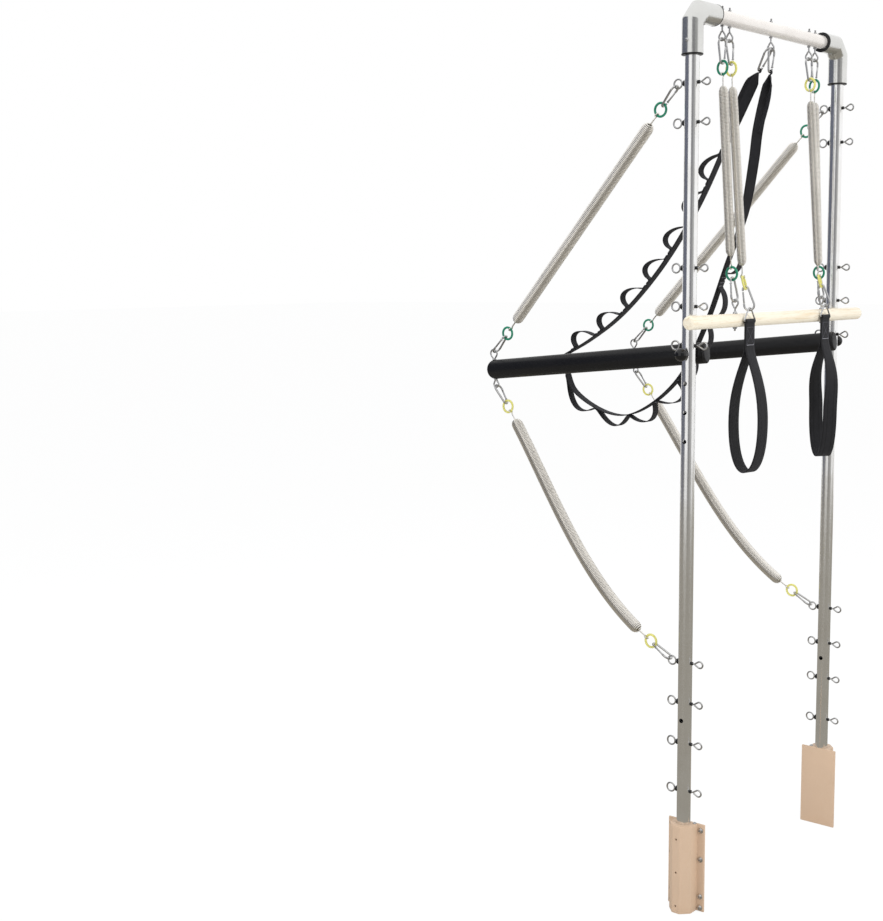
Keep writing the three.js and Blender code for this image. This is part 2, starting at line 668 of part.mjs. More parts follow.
// A spring between two eyes, with a snap link and a ring at each end. The sag shares turn its links down,
// and the curve share says how far the spring itself bends with them: at none it is straight.
function springLine(name, upper, lower, facings, diameter, wire, sag = [0, 0], curveShare = 0) {
  const span = lower.centre.clone().sub(upper.centre);
  const reach = span.length();
  const sink = X.clone().cross(span).normalize();
  sink.multiplyScalar(sink.z > 0 ? -reach : reach);
  const upperBend = upper.centre.clone().addScaledVector(span, 1 / 3).addScaledVector(sink, sag[1]);
  const lowerBend = upper.centre.clone().addScaledVector(span, 2 / 3).addScaledVector(sink, sag[0]);
  const down = upperBend.sub(upper.centre).normalize();
  const up = lowerBend.sub(lower.centre).normalize();
  const top = hangEnd(`${name}_upper_link`, upper, down, facings[0], facings[1]);
  const foot = hangEnd(`${name}_lower_link`, lower, up, facings[3], facings[2]);
  const handle = curveShare * top.start.distanceTo(foot.start);
  const route = new THREE.CubicBezierCurve3(
    top.start, top.start.clone().addScaledVector(down, handle),
    foot.start.clone().addScaledVector(up, handle), foot.start,
  );
  const points = coilPoints(route, diameter - wire);
  console.log(`${name}: least gap ${leastGap(points, wire).toFixed(1)} mm`);
  const section = roundSection(wire, COIL_SIDES);
  const geometry = build([sweep(points, section, X.clone().cross(down).normalize()), top.ring, foot.ring]);
  const home = top.start;
  add(`${name}_spring`, geometry.translate(-home.x, -home.y, -home.z), springSteel).position.copy(home);
}

const frontEye = (side, index) => ({
  centre: vector(side * HALF_SPACING, -FRONT_EYE_OFFSET, EYE_LEVEL_SHARES[index] * CROSSBAR_HEIGHT),
  radius: (FRONT_EYE_DIAMETER - EYE_WIRE) / 2,
  wire: EYE_WIRE,
});
const barEye = (side, up) => ({
  centre: cornerEye(side, up), radius: (cornerDiameter(up) - EYE_WIRE) / 2, wire: EYE_WIRE,
});
const hookEye = (x) => ({
  centre: vector(x, 0, HOOK_HEIGHT), radius: (HOOK_DIAMETER - EYE_WIRE) / 2, wire: EYE_WIRE,
});
const dowelEye = (side) => ({
  centre: vector(DOWEL_SHIFT + (side * DOWEL_EYE_SPACING) / 2, DOWEL_OFFSET, DOWEL_HEIGHT + DOWEL_EYE_OFFSET),
  radius: (DOWEL_EYE_DIAMETER - EYE_WIRE) / 2,
  wire: EYE_WIRE,
});

const UPPER_EYE_INDEX = 0;
const LOWER_EYE_INDEX = 5;

function addArmSprings() {
  SIDES.forEach(([name, side]) => {
    springLine(`arm_upper_${name}`, frontEye(side, UPPER_EYE_INDEX), barEye(side, 1),
      ARM_LINK_FACINGS, ARM_SPRING_DIAMETER, ARM_SPRING_WIRE);
    springLine(`arm_lower_${name}`, barEye(side, -1), frontEye(side, LOWER_EYE_INDEX),
      ARM_LINK_FACINGS, ARM_SPRING_DIAMETER, ARM_SPRING_WIRE, LOWER_SAG_SHARES, LIMP_CURVE_SHARE);
  });
}

// Roll-down bar

const DOWEL_OFFSET = TUBE_RADIUS + DOWEL_DIAMETER / 2 + CLEARANCE;

function dowel() {
  const radius = DOWEL_DIAMETER / 2;
  const half = DOWEL_LENGTH / 2;
  const cap = arcPoints(radius - DOWEL_ROUND, half - DOWEL_ROUND, DOWEL_ROUND, 0, Math.PI / 2, CORNER_STEPS);
  const upper = [...cap, [0, half]];
  const lower = upper.map(([x, y]) => [x, -y]).reverse();
  const profile = [...lower, ...upper].map(([x, y]) => new THREE.Vector2(x, y));
  const reach = radius + OVERRUN;
  const bores = SIDES.map(([, side]) => {
    const x = (side * DOWEL_EYE_SPACING) / 2;
    return rod(vector(x, 0, -reach), vector(x, 0, reach), SHANK_HOLE, SMALL_SIDES);
  });
  return build([new THREE.LatheGeometry(profile, TUBE_SIDES).rotateZ(-Math.PI / 2)], bores);
}

function dowelBolt() {
  const neck = (DOWEL_EYE_DIAMETER - EYE_WIRE) / 2 + EYE_NECK;
  const seat = DOWEL_DIAMETER / 2 + CLEARANCE;
  const collarTop = vector(0, 0, seat + EYE_COLLAR_HEIGHT);
  const down = vector(0, 0, -1);
  return build([
    teardropEye(vector(0, 0, DOWEL_EYE_OFFSET), down, vector(0, 1, 0), DOWEL_EYE_DIAMETER, EYE_WIRE),
    rod(vector(0, 0, -seat - NUT_HEIGHT - SHANK), vector(0, 0, DOWEL_EYE_OFFSET - neck), SHANK, WIRE_SIDES),
    rod(vector(0, 0, seat), collarTop, EYE_COLLAR_DIAMETER, SMALL_SIDES, EYE_COLLAR_TOP),
    nut(vector(0, 0, -seat), down),
  ]);
}

function addRollDownBar() {
  add("roll_down_bar", dowel(), beech).position.set(DOWEL_SHIFT, DOWEL_OFFSET, DOWEL_HEIGHT);
  SIDES.forEach(([name, side]) => {
    const eye = add(`roll_down_eye_${name}`, dowelBolt(), steel);
    eye.position.set(DOWEL_SHIFT + (side * DOWEL_EYE_SPACING) / 2, DOWEL_OFFSET, DOWEL_HEIGHT);
    springLine(`roll_down_${name}`, hookEye(side * OUTER_HOOK), dowelEye(side),
      GREEN_LINK_FACINGS, HUNG_SPRING_DIAMETER, HUNG_SPRING_WIRE, GREEN_SAG_SHARES);
  });
}

// Foot loops

const TRIANGLE_TOP = TRIANGLE_TOP_ROUND - TRIANGLE_WIRE / 2;
const TRIANGLE_DROP = TRIANGLE_HEIGHT - TRIANGLE_WIRE - TRIANGLE_TOP;

// The triangle's wire: a rounded top about the origin and a straight foot for the webbing.
function triangle() {
  const corner = TRIANGLE_CORNER_ROUND - TRIANGLE_WIRE / 2;
  const side = (TRIANGLE_WIDTH - TRIANGLE_WIRE) / 2 - corner;
  const foot = corner - TRIANGLE_DROP;
  const lean = Math.atan2(side, -foot) - Math.asin((TRIANGLE_TOP - corner) / Math.hypot(side, foot));
  const outline = [
    ...arcPoints(0, 0, TRIANGLE_TOP, lean, Math.PI - lean, CORNER_STEPS),
    ...arcPoints(-side, foot, corner, Math.PI - lean, 1.5 * Math.PI, CORNER_STEPS),
    ...arcPoints(side, foot, corner, 1.5 * Math.PI, TAU + lean, CORNER_STEPS),
  ];
  return wireLoop(outline, vector(0, 0, 0), X, Z, TRIANGLE_WIRE);
}

// Turns what hangs below `from` about the vertical, by the full turn at `to` and lower.
function twistBelow(geometry, from, to, turn) {
  const position = geometry.attributes.position;
  for (let i = 0; i < position.count; i += 1) {
    const point = new THREE.Vector3().fromBufferAttribute(position, i);
    point.applyAxisAngle(Z, turn * THREE.MathUtils.smoothstep(-point.z, from, to));
    position.setXYZ(i, point.x, point.y, point.z);
  }
  return geometry;
}

// A loop of webbing seen from its side: round the triangle's foot, sewn flat down the stem, open below.
function footLoop(turn) {
  const grip = TRIANGLE_WIRE / 2 + CLEARANCE + LOOP_EYE_SLACK;
  const half = LOOP_WIDTH / 2;
  const bottom = LOOP_LENGTH - LOOP_THICKNESS;
  const side = (path, sign, inset, crotch) => {
    const x = sign * (half - inset);
    path.bezierCurveTo(0, -(crotch + LOOP_STEM / 2), x, -LOOP_BELLY / 2 - LOOP_STEM / 2, x, -LOOP_BELLY);
    path.bezierCurveTo(x, -(LOOP_BELLY + bottom) / 2 - half / 2, x / 2, inset - bottom, 0, inset - bottom);
  };
  const back = (path, sign, inset, crotch, endX) => {
    const x = sign * (half - inset);
    path.bezierCurveTo(x / 2, inset - bottom, x, -(LOOP_BELLY + bottom) / 2 - half / 2, x, -LOOP_BELLY);
    path.bezierCurveTo(x, -LOOP_BELLY / 2 - LOOP_STEM / 2, endX, -(crotch + LOOP_STEM / 2), endX, -crotch);
  };
  const outline = new THREE.Shape();
  const shoulder = Math.asin(LOOP_THICKNESS / (grip + LOOP_THICKNESS));
  outline.moveTo(-LOOP_THICKNESS, -LOOP_STEM);
  side(outline, -1, 0, LOOP_STEM);
  back(outline, 1, 0, LOOP_STEM, LOOP_THICKNESS);
  outline.absarc(0, 0, grip + LOOP_THICKNESS, shoulder - Math.PI / 2, 1.5 * Math.PI - shoulder, false);
  const opening = new THREE.Path();
  const crotch = LOOP_STEM + LOOP_WEBBING / 2;
  opening.moveTo(0, -crotch);
  side(opening, -1, LOOP_THICKNESS, crotch);
  back(opening, 1, LOOP_THICKNESS, crotch, 0);
  const eye = new THREE.Path().absarc(0, 0, grip, 0, TAU, true);
  outline.holes.push(opening, eye);
  const depth = LOOP_WEBBING;
  const geometry = new THREE.ExtrudeGeometry(outline, { depth, bevelEnabled: false, curveSegments: EYE_STEPS });
  return twistBelow(geometry.translate(0, 0, -depth / 2).rotateX(Math.PI / 2), LOOP_STEM, LOOP_BELLY, turn);
}

function addFootLoops() {
  SIDES.forEach(([name, side], i) => {
    const place = new THREE.Group();
    place.position.set(side > 0 ? RIGHT_LOOP : LEFT_LOOP, LOOP_OFFSET, TRIANGLE_HEIGHT_ABOVE_BENCH);
    place.rotation.z = degrees(LOOP_STEM_TURN + 90);
    tower.add(place);
    add(`foot_loop_${name}`, footLoop(degrees(LOOP_TURNS[i] - LOOP_STEM_TURN)), webbing, place);
    const ring = add(`loop_triangle_${name}`, triangle(), steel, place);
    ring.position.z = TRIANGLE_DROP;
    ring.rotation.z = Math.PI / 2;
    const centre = ring.position.clone().add(place.position);
    const eye = { centre, radius: TRIANGLE_TOP - CLEARANCE, wire: TRIANGLE_WIRE, crown: Z };
    springLine(`foot_${name}`, hookEye(side * INNER_HOOK), eye,
      YELLOW_LINK_FACINGS, HUNG_SPRING_DIAMETER, HUNG_SPRING_WIRE, YELLOW_SAG_SHARES);
  });
}

// Strap with hand loops

// A point of the upright middle plane, as shares of the way from the hook to the push-through bar.
function middlePoint([alongShare, downShare]) {
  const bar = pushThrough.localToWorld(vector(0, -BAR_LENGTH, 0));
  return vector(0, alongShare * bar.y, HOOK_HEIGHT + downShare * (bar.z - HOOK_HEIGHT));
}

// The strap's way round the bar, half its thickness clear of it.
function wrapPoints() {
  const clear = CLEARANCE + STRAP_SLACK + STRAP_THICKNESS / 2;
  const [from, to] = WRAP_ANGLES.map(degrees);
  return arcPoints(0, 0, 1, from, to, WRAP_STEPS).map(([u, v]) => pushThrough.localToWorld(
    vector(0, u * (BAR_DEPTH / 2 + clear) - BAR_LENGTH, v * (BAR_HEIGHT / 2 + clear))));
}

// The strap's end sewn round a link's tip.
function strapEye(tip) {
  const bore = LINK_WIRE + 2 * (CLEARANCE + STRAP_EYE_SLACK);
  const half = vector(STRAP_TIP_WIDTH / 2, 0, 0);
  const past = vector(STRAP_TIP_WIDTH / 2 + OVERRUN, 0, 0);
  const outer = rod(tip.clone().sub(half), tip.clone().add(half), bore + 2 * STRAP_THICKNESS, TUBE_SIDES);
  return toSolid(outer).subtract(toSolid(rod(tip.clone().sub(past), tip.clone().add(past), bore, TUBE_SIDES)));
}

// A short band bowed out from a run of the strap and sewn to it at both ends.
function handLoop(run, [fromShare, toShare], handles) {
  const from = run.getPointAt(fromShare);
  const to = run.getPointAt(toShare);
  const chord = to.clone().sub(from);
  const outward = chord.clone().cross(X);
  const [first, second] = handles.map(([along, out]) =>
    from.clone().addScaledVector(chord, along).addScaledVector(outward, out));
  const bow = new THREE.CubicBezierCurve3(from, first, second, to).getPoints(HAND_LOOP_STEPS);
  return sweep(bow, bandSection(STRAP_WIDTH, STRAP_THICKNESS), X);
}

function handLoops(front, rear) {
  const [start, end] = FRONT_LOOPS_SHARES;
  const pitch = (end - start) / FRONT_LOOP_COUNT;
  const frontLoops = Array.from({ length: FRONT_LOOP_COUNT }, (_, i) => {
    const from = start + i * pitch;
    return handLoop(front, [from, from + HAND_LOOP_SPAN_SHARE * pitch], FRONT_LOOP_HANDLES);
  });
  const rearLoops = REAR_LOOPS_SHARES.map((shares, i) => {
    const kind = Math.min(i, REAR_LOOPS_HANDLES.length - 1);
    return handLoop(rear, shares, REAR_LOOPS_HANDLES[kind]);
  });
  return [...frontLoops, ...rearLoops];
}

// Distance along a polyline from its start to each of its points.
function distances(points) {
  let total = 0;
  return points.map((point, i) => {
    total += i > 0 ? point.distanceTo(points[i - 1]) : 0;
    return total;
  });
}

function addStrap() {
  const eye = hookEye(0);
  const inside = eye.radius - nest(eye.wire, LINK_WIRE);
  const tips = STRAP_LINK_LEANS.map((lean, i) => {
    const aside = (i - 0.5) * STRAP_LINK_SPREAD;
    const seat = eye.centre.clone().add(vector(0, aside, -Math.sqrt(inside ** 2 - aside ** 2)));
    const hang = vector(0, Math.sin(degrees(lean)), -Math.cos(degrees(lean)));
    const tip = placeLink(["strap_front_link", "strap_rear_link"][i], seat, hang, STRAP_LINK_FACING);
    const reach = (LINK_WIRE + STRAP_THICKNESS) / 2 + CLEARANCE + STRAP_EYE_SLACK;
    return { tip, start: tip.clone().addScaledVector(hang, reach) };
  });
  const wrap = wrapPoints();
  const front = new THREE.CatmullRomCurve3([tips[0].start, ...FRONT_RUN_SHARES.map(middlePoint), wrap[0]]);
  const rear = new THREE.CatmullRomCurve3(
    [wrap[wrap.length - 1], ...REAR_RUN_SHARES.map(middlePoint), tips[1].start]);
  const sampled = (run) => run.getSpacedPoints(Math.round(run.getLength() / STRAP_STEP));
  const points = [...sampled(front), ...wrap.slice(1, -1), ...sampled(rear)];
  const fromHook = distances(points);
  const total = fromHook[fromHook.length - 1];
  const [frontTwist, rearTwist] = STRAP_TWIST_LENGTHS;
  const bump = (share) => Math.sin(Math.PI * Math.min(1, share));
  const twist = (i) =>
    degrees(STRAP_TWIST) * (bump(fromHook[i] / frontTwist) - bump((total - fromHook[i]) / rearTwist));
  const width = (i) => {
    const share = Math.min(1, Math.min(fromHook[i], total - fromHook[i]) / STRAP_TAPER);
    return STRAP_TIP_WIDTH + share * (STRAP_WIDTH - STRAP_TIP_WIDTH);
  };
  const band = sweep(points, (i) => bandSection(width(i), STRAP_THICKNESS), X, { twist });
  const solid = joined([band, ...handLoops(front, rear)]);
  add("hand_loop_strap", toGeometry(solid.add(strapEye(tips[0].tip)).add(strapEye(tips[1].tip))), webbing);
}

addFrame();
addStrap();
addPushThroughBar();
addArmSprings();
addRollDownBar();
addFootLoops();

export default tower;
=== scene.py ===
import logging
from collections.abc import Callable, Sequence
from dataclasses import dataclass, field
from enum import Enum
from math import acos, asin, atan2, copysign, cos, hypot, pi, radians, sin, sqrt, tan, tau

import bmesh
import bpy
from mathutils import Matrix, Quaternion, Vector


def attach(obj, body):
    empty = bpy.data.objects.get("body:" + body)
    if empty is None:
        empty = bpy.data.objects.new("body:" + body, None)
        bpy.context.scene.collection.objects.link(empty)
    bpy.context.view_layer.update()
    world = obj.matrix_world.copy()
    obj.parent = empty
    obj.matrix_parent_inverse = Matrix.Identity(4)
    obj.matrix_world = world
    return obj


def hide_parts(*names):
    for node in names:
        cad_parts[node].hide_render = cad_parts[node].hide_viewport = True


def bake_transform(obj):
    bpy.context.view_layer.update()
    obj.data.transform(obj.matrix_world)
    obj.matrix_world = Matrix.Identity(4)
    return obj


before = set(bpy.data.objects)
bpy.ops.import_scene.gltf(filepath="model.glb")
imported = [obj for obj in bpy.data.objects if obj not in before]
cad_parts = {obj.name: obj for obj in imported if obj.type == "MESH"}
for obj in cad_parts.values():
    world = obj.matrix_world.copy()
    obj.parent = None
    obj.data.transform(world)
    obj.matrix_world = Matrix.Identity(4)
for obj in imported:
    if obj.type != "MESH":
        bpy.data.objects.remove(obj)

# Lengths in this file are millimetres, save those of the studio's floor, cards and lamps, which are metres.
# Angles among the sizes are degrees. MM turns millimetres into metres as each mesh is made.
MM = 0.001
X = Vector((1, 0, 0))
Y = Vector((0, 1, 0))
Z = Vector((0, 0, 1))
LOG = logging.getLogger("tower")

Piece = bpy.types.Object
Material = bpy.types.Material
Socket = bpy.types.NodeSocket
Tree = bpy.types.NodeTree
Patterns = tuple[Piece, Piece]
Pair = tuple[float, float]
Triple = tuple[float, float, float]
Turns = tuple[float, float, float, float]
Ring = list[Vector]
Outline = list[Pair]
Measure = Callable[[float], float]
Inputs = dict[str | int, object]


class Body(Enum):
    """The moving bodies of the tower."""

    FRAME = "frame"
    PUSH_THROUGH = "push_through"
    ROLL_DOWN = "roll_down"
    FOOT_RIGHT = "foot_loop_right_line"
    FOOT_LEFT = "foot_loop_left_line"
    PIN_RIGHT = "pull_pin_right_slide"
    PIN_LEFT = "pull_pin_left_slide"


class Side(Enum):
    """The two sides of the tower, each with the sign of its X."""

    RIGHT = 1
    LEFT = -1

    @property
    def word(self) -> str:
        """The side's name as the nodes spell it."""
        return self.name.lower()


class Slot(Enum):
    """The record's material slots."""

    CHROME = "chrome"
    ALLOY = "cast_alloy"
    STEEL = "steel"
    SPRING = "spring_wire"
    SAND = "sand_paint"
    PAINT = "black_paint"
    PLASTIC = "black_plastic"
    BEECH = "beech"
    WEBBING = "webbing"


# Small tools


def deselect() -> None:
    """Leaves edit mode and clears the selection."""
    if bpy.context.object and bpy.context.object.mode != "OBJECT":
        bpy.ops.object.mode_set(mode="OBJECT")
    bpy.ops.object.select_all(action="DESELECT")


def pick(*pieces: Piece) -> None:
    """Selects these pieces alone and makes the first one active."""
    deselect()
    for piece in pieces:
        piece.select_set(True)
    bpy.context.view_layer.objects.active = pieces[0]


def named(piece: Piece, name: str) -> Piece:
    """Names a piece and its mesh."""
    piece.name = name
    piece.data.name = name
    return piece


def settle(piece: Piece, name: str) -> Piece:
    """Names a piece and puts its place into its mesh."""
    pick(named(piece, name))
    bpy.ops.object.transform_apply(location=True, rotation=True, scale=True)
    return piece


def smooth(piece: Piece, angle: float = 35) -> Piece:
    """Shades a piece smooth wherever its faces meet at less than an angle in degrees."""
    pick(piece)
    bpy.ops.object.shade_smooth_by_angle(angle=radians(angle))
    return piece


def soften(piece: Piece, width: float, segments: int = 2, angle: float = 30) -> Piece:
    """Rounds the edges of a piece that are sharper than an angle.

    Args:
        piece: The mesh to round.
        width: The round's width in millimetres.
        segments: The faces across a round.
        angle: The least turn of an edge, in degrees.

    Returns:
        The same piece.
    """
    pick(piece)
    bevel = piece.modifiers.new("round", "BEVEL")
    bevel.width = width * MM
    bevel.segments = segments
    bevel.limit_method = "ANGLE"
    bevel.angle_limit = radians(angle)
    bpy.ops.object.modifier_apply(modifier=bevel.name)
    return piece


def thicken(piece: Piece, wall: float) -> Piece:
    """Gives a skin its wall, inward.

    Args:
        piece: The skin.
        wall: The wall in millimetres.

    Returns:
        The same piece.
    """
    skin = piece.modifiers.new("wall", "SOLIDIFY")
    skin.thickness = wall * MM
    skin.offset = -1
    pick(piece)
    bpy.ops.object.modifier_apply(modifier=skin.name)
    return piece


def turn_out(piece: Piece, weld: bool = False) -> Piece:
    """Turns a piece's faces outward and leaves edit mode.

    Args:
        piece: The mesh to turn.
        weld: Whether points that lie on each other are merged first.

    Returns:
        The same piece.
    """
    if piece.mode != "EDIT":
        pick(piece)
        bpy.ops.object.mode_set(mode="EDIT")
    bpy.ops.mesh.select_all(action="SELECT")
    if weld:
        bpy.ops.mesh.remove_doubles(threshold=1e-6)
    bpy.ops.mesh.normals_make_consistent(inside=False)
    bpy.ops.object.mode_set(mode="OBJECT")
    return piece


def cut(piece: Piece, *tools: Piece) -> Piece:
    """Takes shapes out of a piece.

    Args:
        piece: What is cut.
        tools: The shapes, which are removed afterwards.

    Returns:
        The same piece.
    """
    for tool in tools:
        pick(piece)
        saw = piece.modifiers.new("cut", "BOOLEAN")
        saw.operation = "DIFFERENCE"
        saw.solver = "EXACT"
        saw.object = tool
        bpy.ops.object.modifier_apply(modifier=saw.name)
        bpy.data.objects.remove(tool, do_unlink=True)
    return piece


def join(name: str, pieces: Sequence[Piece]) -> Piece:
    """Makes one piece of several, each keeping its finish.

    Args:
        name: The new piece's name.
        pieces: What is joined.

    Returns:
        The joined piece.
    """
    pick(*pieces)
    if len(pieces) > 1:
        bpy.ops.object.join()
    return named(bpy.context.view_layer.objects.active, name)


def copied(piece: Piece, name: str, matrix: Matrix) -> Piece:
    """Copies a piece with a mesh of its own, placed by a matrix in millimetres.

    Args:
        piece: The piece to copy.
        name: The copy's name.
        matrix: Its placing.

    Returns:
        The copy.
    """
    pick(piece)
    bpy.ops.object.duplicate(linked=False)
    return moved(named(bpy.context.object, name), matrix)


def moved(piece: Piece, matrix: Matrix) -> Piece:
    """Moves a piece's mesh by a matrix in millimetres."""
    piece.data.transform(in_metres(matrix))
    return piece


def in_metres(matrix: Matrix) -> Matrix:
    """The same placing with its shift in metres."""
    scaled = matrix.copy()
    scaled.translation = matrix.translation * MM
    return scaled


def standing(direction: Vector, centre: Vector = Vector((0, 0, 0))) -> Matrix:
    """The placing that stands a shape's Z axis along a direction at a centre."""
    turn = Z.rotation_difference(direction.normalized()).to_matrix().to_4x4()
    return Matrix.Translation(centre) @ turn


def frame_of(x: Vector, y: Vector, z: Vector, centre: Vector) -> Matrix:
    """The placing with these three axes at a centre."""
    basis = Matrix((x, y, z)).transposed().to_4x4()
    return Matrix.Translation(centre) @ basis


def rod(name: str, start: Vector, end: Vector, diameter: float, sides: int = 32,
        filled: bool = True) -> Piece:
    """A round bar between two points.

    Args:
        name: The piece's name.
        start: The middle of its first end.
        end: The middle of its other end.
        diameter: Its diameter.
        sides: The faces round it.
        filled: Whether its ends are closed.

    Returns:
        The bar, its place in its mesh.
    """
    deselect()
    axis = end - start
    radius = diameter / 2 * MM
    bpy.ops.mesh.primitive_cone_add(vertices=sides, radius1=radius, radius2=radius, depth=axis.length * MM,
                                    end_fill_type="NGON" if filled else "NOTHING")
    return moved(settle(bpy.context.object, name), standing(axis, (start + end) / 2))


def loft(name: str, rings: Sequence[Ring], closed: bool = False, capped: bool = True) -> Piece:
    """Extrudes a first outline through each of the rings that follow it.

    Args:
        name: The piece's name.
        rings: Outlines of as many points each, in order along the piece.
        closed: Whether the last ring joins the first.
        capped: Whether the ends of an open run are faced.

    Returns:
        The piece, its place in its mesh.
    """
    deselect()
    fill = "NGON" if capped and not closed else "NOTHING"
    bpy.ops.mesh.primitive_circle_add(vertices=len(rings[0]), radius=1, fill_type=fill)
    piece = named(bpy.context.object, name)
    for vertex, point in zip(piece.data.vertices, rings[0]):
        vertex.co = point * MM
    bpy.ops.object.mode_set(mode="EDIT")
    bpy.ops.mesh.select_all(action="SELECT")
    order = {tuple(vertex.co): i for i, vertex in enumerate(bmesh.from_edit_mesh(piece.data).verts)}
    for ring in rings[1:]:
        bpy.ops.mesh.extrude_region_move()
        shape = bmesh.from_edit_mesh(piece.data)
        drawn = [(vertex, order[tuple(vertex.co)]) for vertex in shape.verts if vertex.select]
        for vertex, i in drawn:
            vertex.co = ring[i] * MM
        order = {tuple(vertex.co): i for vertex, i in drawn}
    if closed:
        shape = bmesh.from_edit_mesh(piece.data)
        for edge in shape.edges:
            edge.select_set(edge.is_boundary)
        shape.select_flush_mode()
        bpy.ops.mesh.bridge_edge_loops()
    return turn_out(piece)


def sweep_rings(points: Sequence[Vector], section: Callable[[int], Outline], across: Vector,
                closed: bool = False, twist: Callable[[int], float] = lambda i: 0) -> list[Ring]:
    """Carries a flat outline along a route with a mitre at each corner.

    Args:
        points: The route.
        section: The outline at each point of the route, in its own two axes.
        across: Where the outline's first axis starts out.
        closed: Whether the route joins up.
        twist: The turn of the outline at each point, in radians.

    Returns:
        One ring of points for each point of the route.
    """
    count = len(points)
    step = [(points[(i + 1) % count] - points[i]).normalized() for i in range(count if closed else count - 1)]
    first = across.copy()
    rings = []
    for i, point in enumerate(points):
        back = step[i - 1] if closed or i > 0 else step[0]
        ahead = step[i] if closed or i < count - 1 else back
        mitre = (back + ahead).normalized()
        first = (first - back * first.dot(back)).normalized()
        x = Quaternion(back, twist(i)) @ first
        y = back.cross(x)
        first = back.rotation_difference(ahead) @ first
        ring = []
        for u, v in section(i):
            offset = x * u + y * v
            offset -= back * (offset.dot(mitre) / back.dot(mitre))
            ring.append(point + offset)
        rings.append(ring)
    return rings


def wire(name: str, points: Sequence[Vector], diameter: float, sides: int = 10,
         closed: bool = False) -> Piece:
    """A round wire bent through points.

    Args:
        name: The piece's name.
        points: The middle of the wire, in order.
        diameter: The wire's diameter.
        sides: The faces round it, an even number.
        closed: Whether its ends join.

    Returns:
        The wire as a mesh, its place in its mesh.
    """
    deselect()
    bpy.ops.curve.primitive_nurbs_path_add()
    curve = bpy.context.object
    shape = curve.data
    shape.splines.clear()
    spline = shape.splines.new("POLY")
    spline.points.add(len(points) - 1)
    for knot, point in zip(spline.points, points):
        knot.co = (*(point * MM), 1)
    spline.use_cyclic_u = closed
    shape.dimensions = "3D"
    shape.bevel_depth = diameter / 2 * MM
    shape.bevel_resolution = sides // 2 - 2
    shape.use_fill_caps = not closed
    bpy.ops.object.convert(target="MESH")
    return smooth(turn_out(settle(bpy.context.object, name), weld=True), 50)


def arc(x: float, y: float, radius: float, start: float, end: float, steps: int) -> Outline:
    """Points of an arc in a plane, angles in radians, both ends kept."""
    angles = [start + (end - start) * i / steps for i in range(steps + 1)]
    return [(x + radius * cos(a), y + radius * sin(a)) for a in angles]


def in_plane(outline: Outline, centre: Vector, u: Vector, v: Vector) -> list[Vector]:
    """Points of an outline laid in the plane of two axes."""
    return [centre + u * a + v * b for a, b in outline]


def bezier(a: Vector, b: Vector, c: Vector, d: Vector, share: float) -> Vector:
    """The point at a share of a cubic curve."""
    rest = 1 - share
    return a * rest**3 + b * (3 * rest**2 * share) + c * (3 * rest * share**2) + d * share**3


@dataclass
class Route:
    """A polyline that can be read by distance."""

    points: list[Vector]
    marks: list[float] = field(init=False)

    def __post_init__(self) -> None:
        """Measures the distance from the start to each point."""
        self.marks = [0.0]
        for before, after in zip(self.points, self.points[1:]):
            self.marks.append(self.marks[-1] + (after - before).length)

    @property
    def length(self) -> float:
        """The whole length."""
        return self.marks[-1]

    def at(self, distance: float) -> Vector:
        """The point at a distance from the start, run on straight past either end."""
        i = 1
        while i < len(self.marks) - 1 and self.marks[i] < distance:
            i += 1
        share = (distance - self.marks[i - 1]) / max(self.marks[i] - self.marks[i - 1], 1e-9)
        return self.points[i - 1] + (self.points[i] - self.points[i - 1]) * share

    def along(self, distance: float) -> Vector:
        """The direction at a distance from the start."""
        return (self.at(distance + 1) - self.at(distance - 1)).normalized()

    def spaced(self, pitch: float) -> list[Vector]:
        """Points at even distances of about a pitch, both ends kept."""
        count = max(1, round(self.length / pitch))
        return [self.at(self.length * i / count) for i in range(count + 1)]


def catmull(points: Sequence[Vector], steps: int = 16) -> Route:
    """A route through points, curved as a centripetal spline is.

    Args:
        points: What it passes through.
        steps: Points to each span.

    Returns:
        The route.
    """
    knots = [points[0] * 2 - points[1], *points, points[-1] * 2 - points[-2]]
    made = []
    for p, q, r, s in zip(knots, knots[1:], knots[2:], knots[3:]):
        a, b, c = (max((n - m).length, 1e-6) ** 0.5 for m, n in ((p, q), (q, r), (r, s)))
        leave = ((q - p) / a - (r - p) / (a + b) + (r - q) / b) * b
        arrive = ((r - q) / b - (s - q) / (b + c) + (s - r) / c) * b
        for i in range(steps):
            made.append(bezier(q, q + leave / 3, r - arrive / 3, r, i / steps))
    made.append(points[-1].copy())
    return Route(made)


# Finishes


def add(tree: Tree, kind: str, output: str | int, inputs: Inputs, **settings: object) -> Socket:
    """Adds a node.

    Args:
        tree: The nodes of a material or of the world.
        kind: The node's type.
        output: The name or place of the output that is wanted.
        inputs: Values and sockets for its inputs, by name or place.
        settings: Its other settings.

    Returns:
        The output.
    """
    made = tree.nodes.new(kind)
    for key, value in settings.items():
        setattr(made, key, value)
    for key, value in inputs.items():
        if isinstance(value, Socket):
            tree.links.new(value, made.inputs[key])
        else:
            made.inputs[key].default_value = value
    return made.outputs[output]


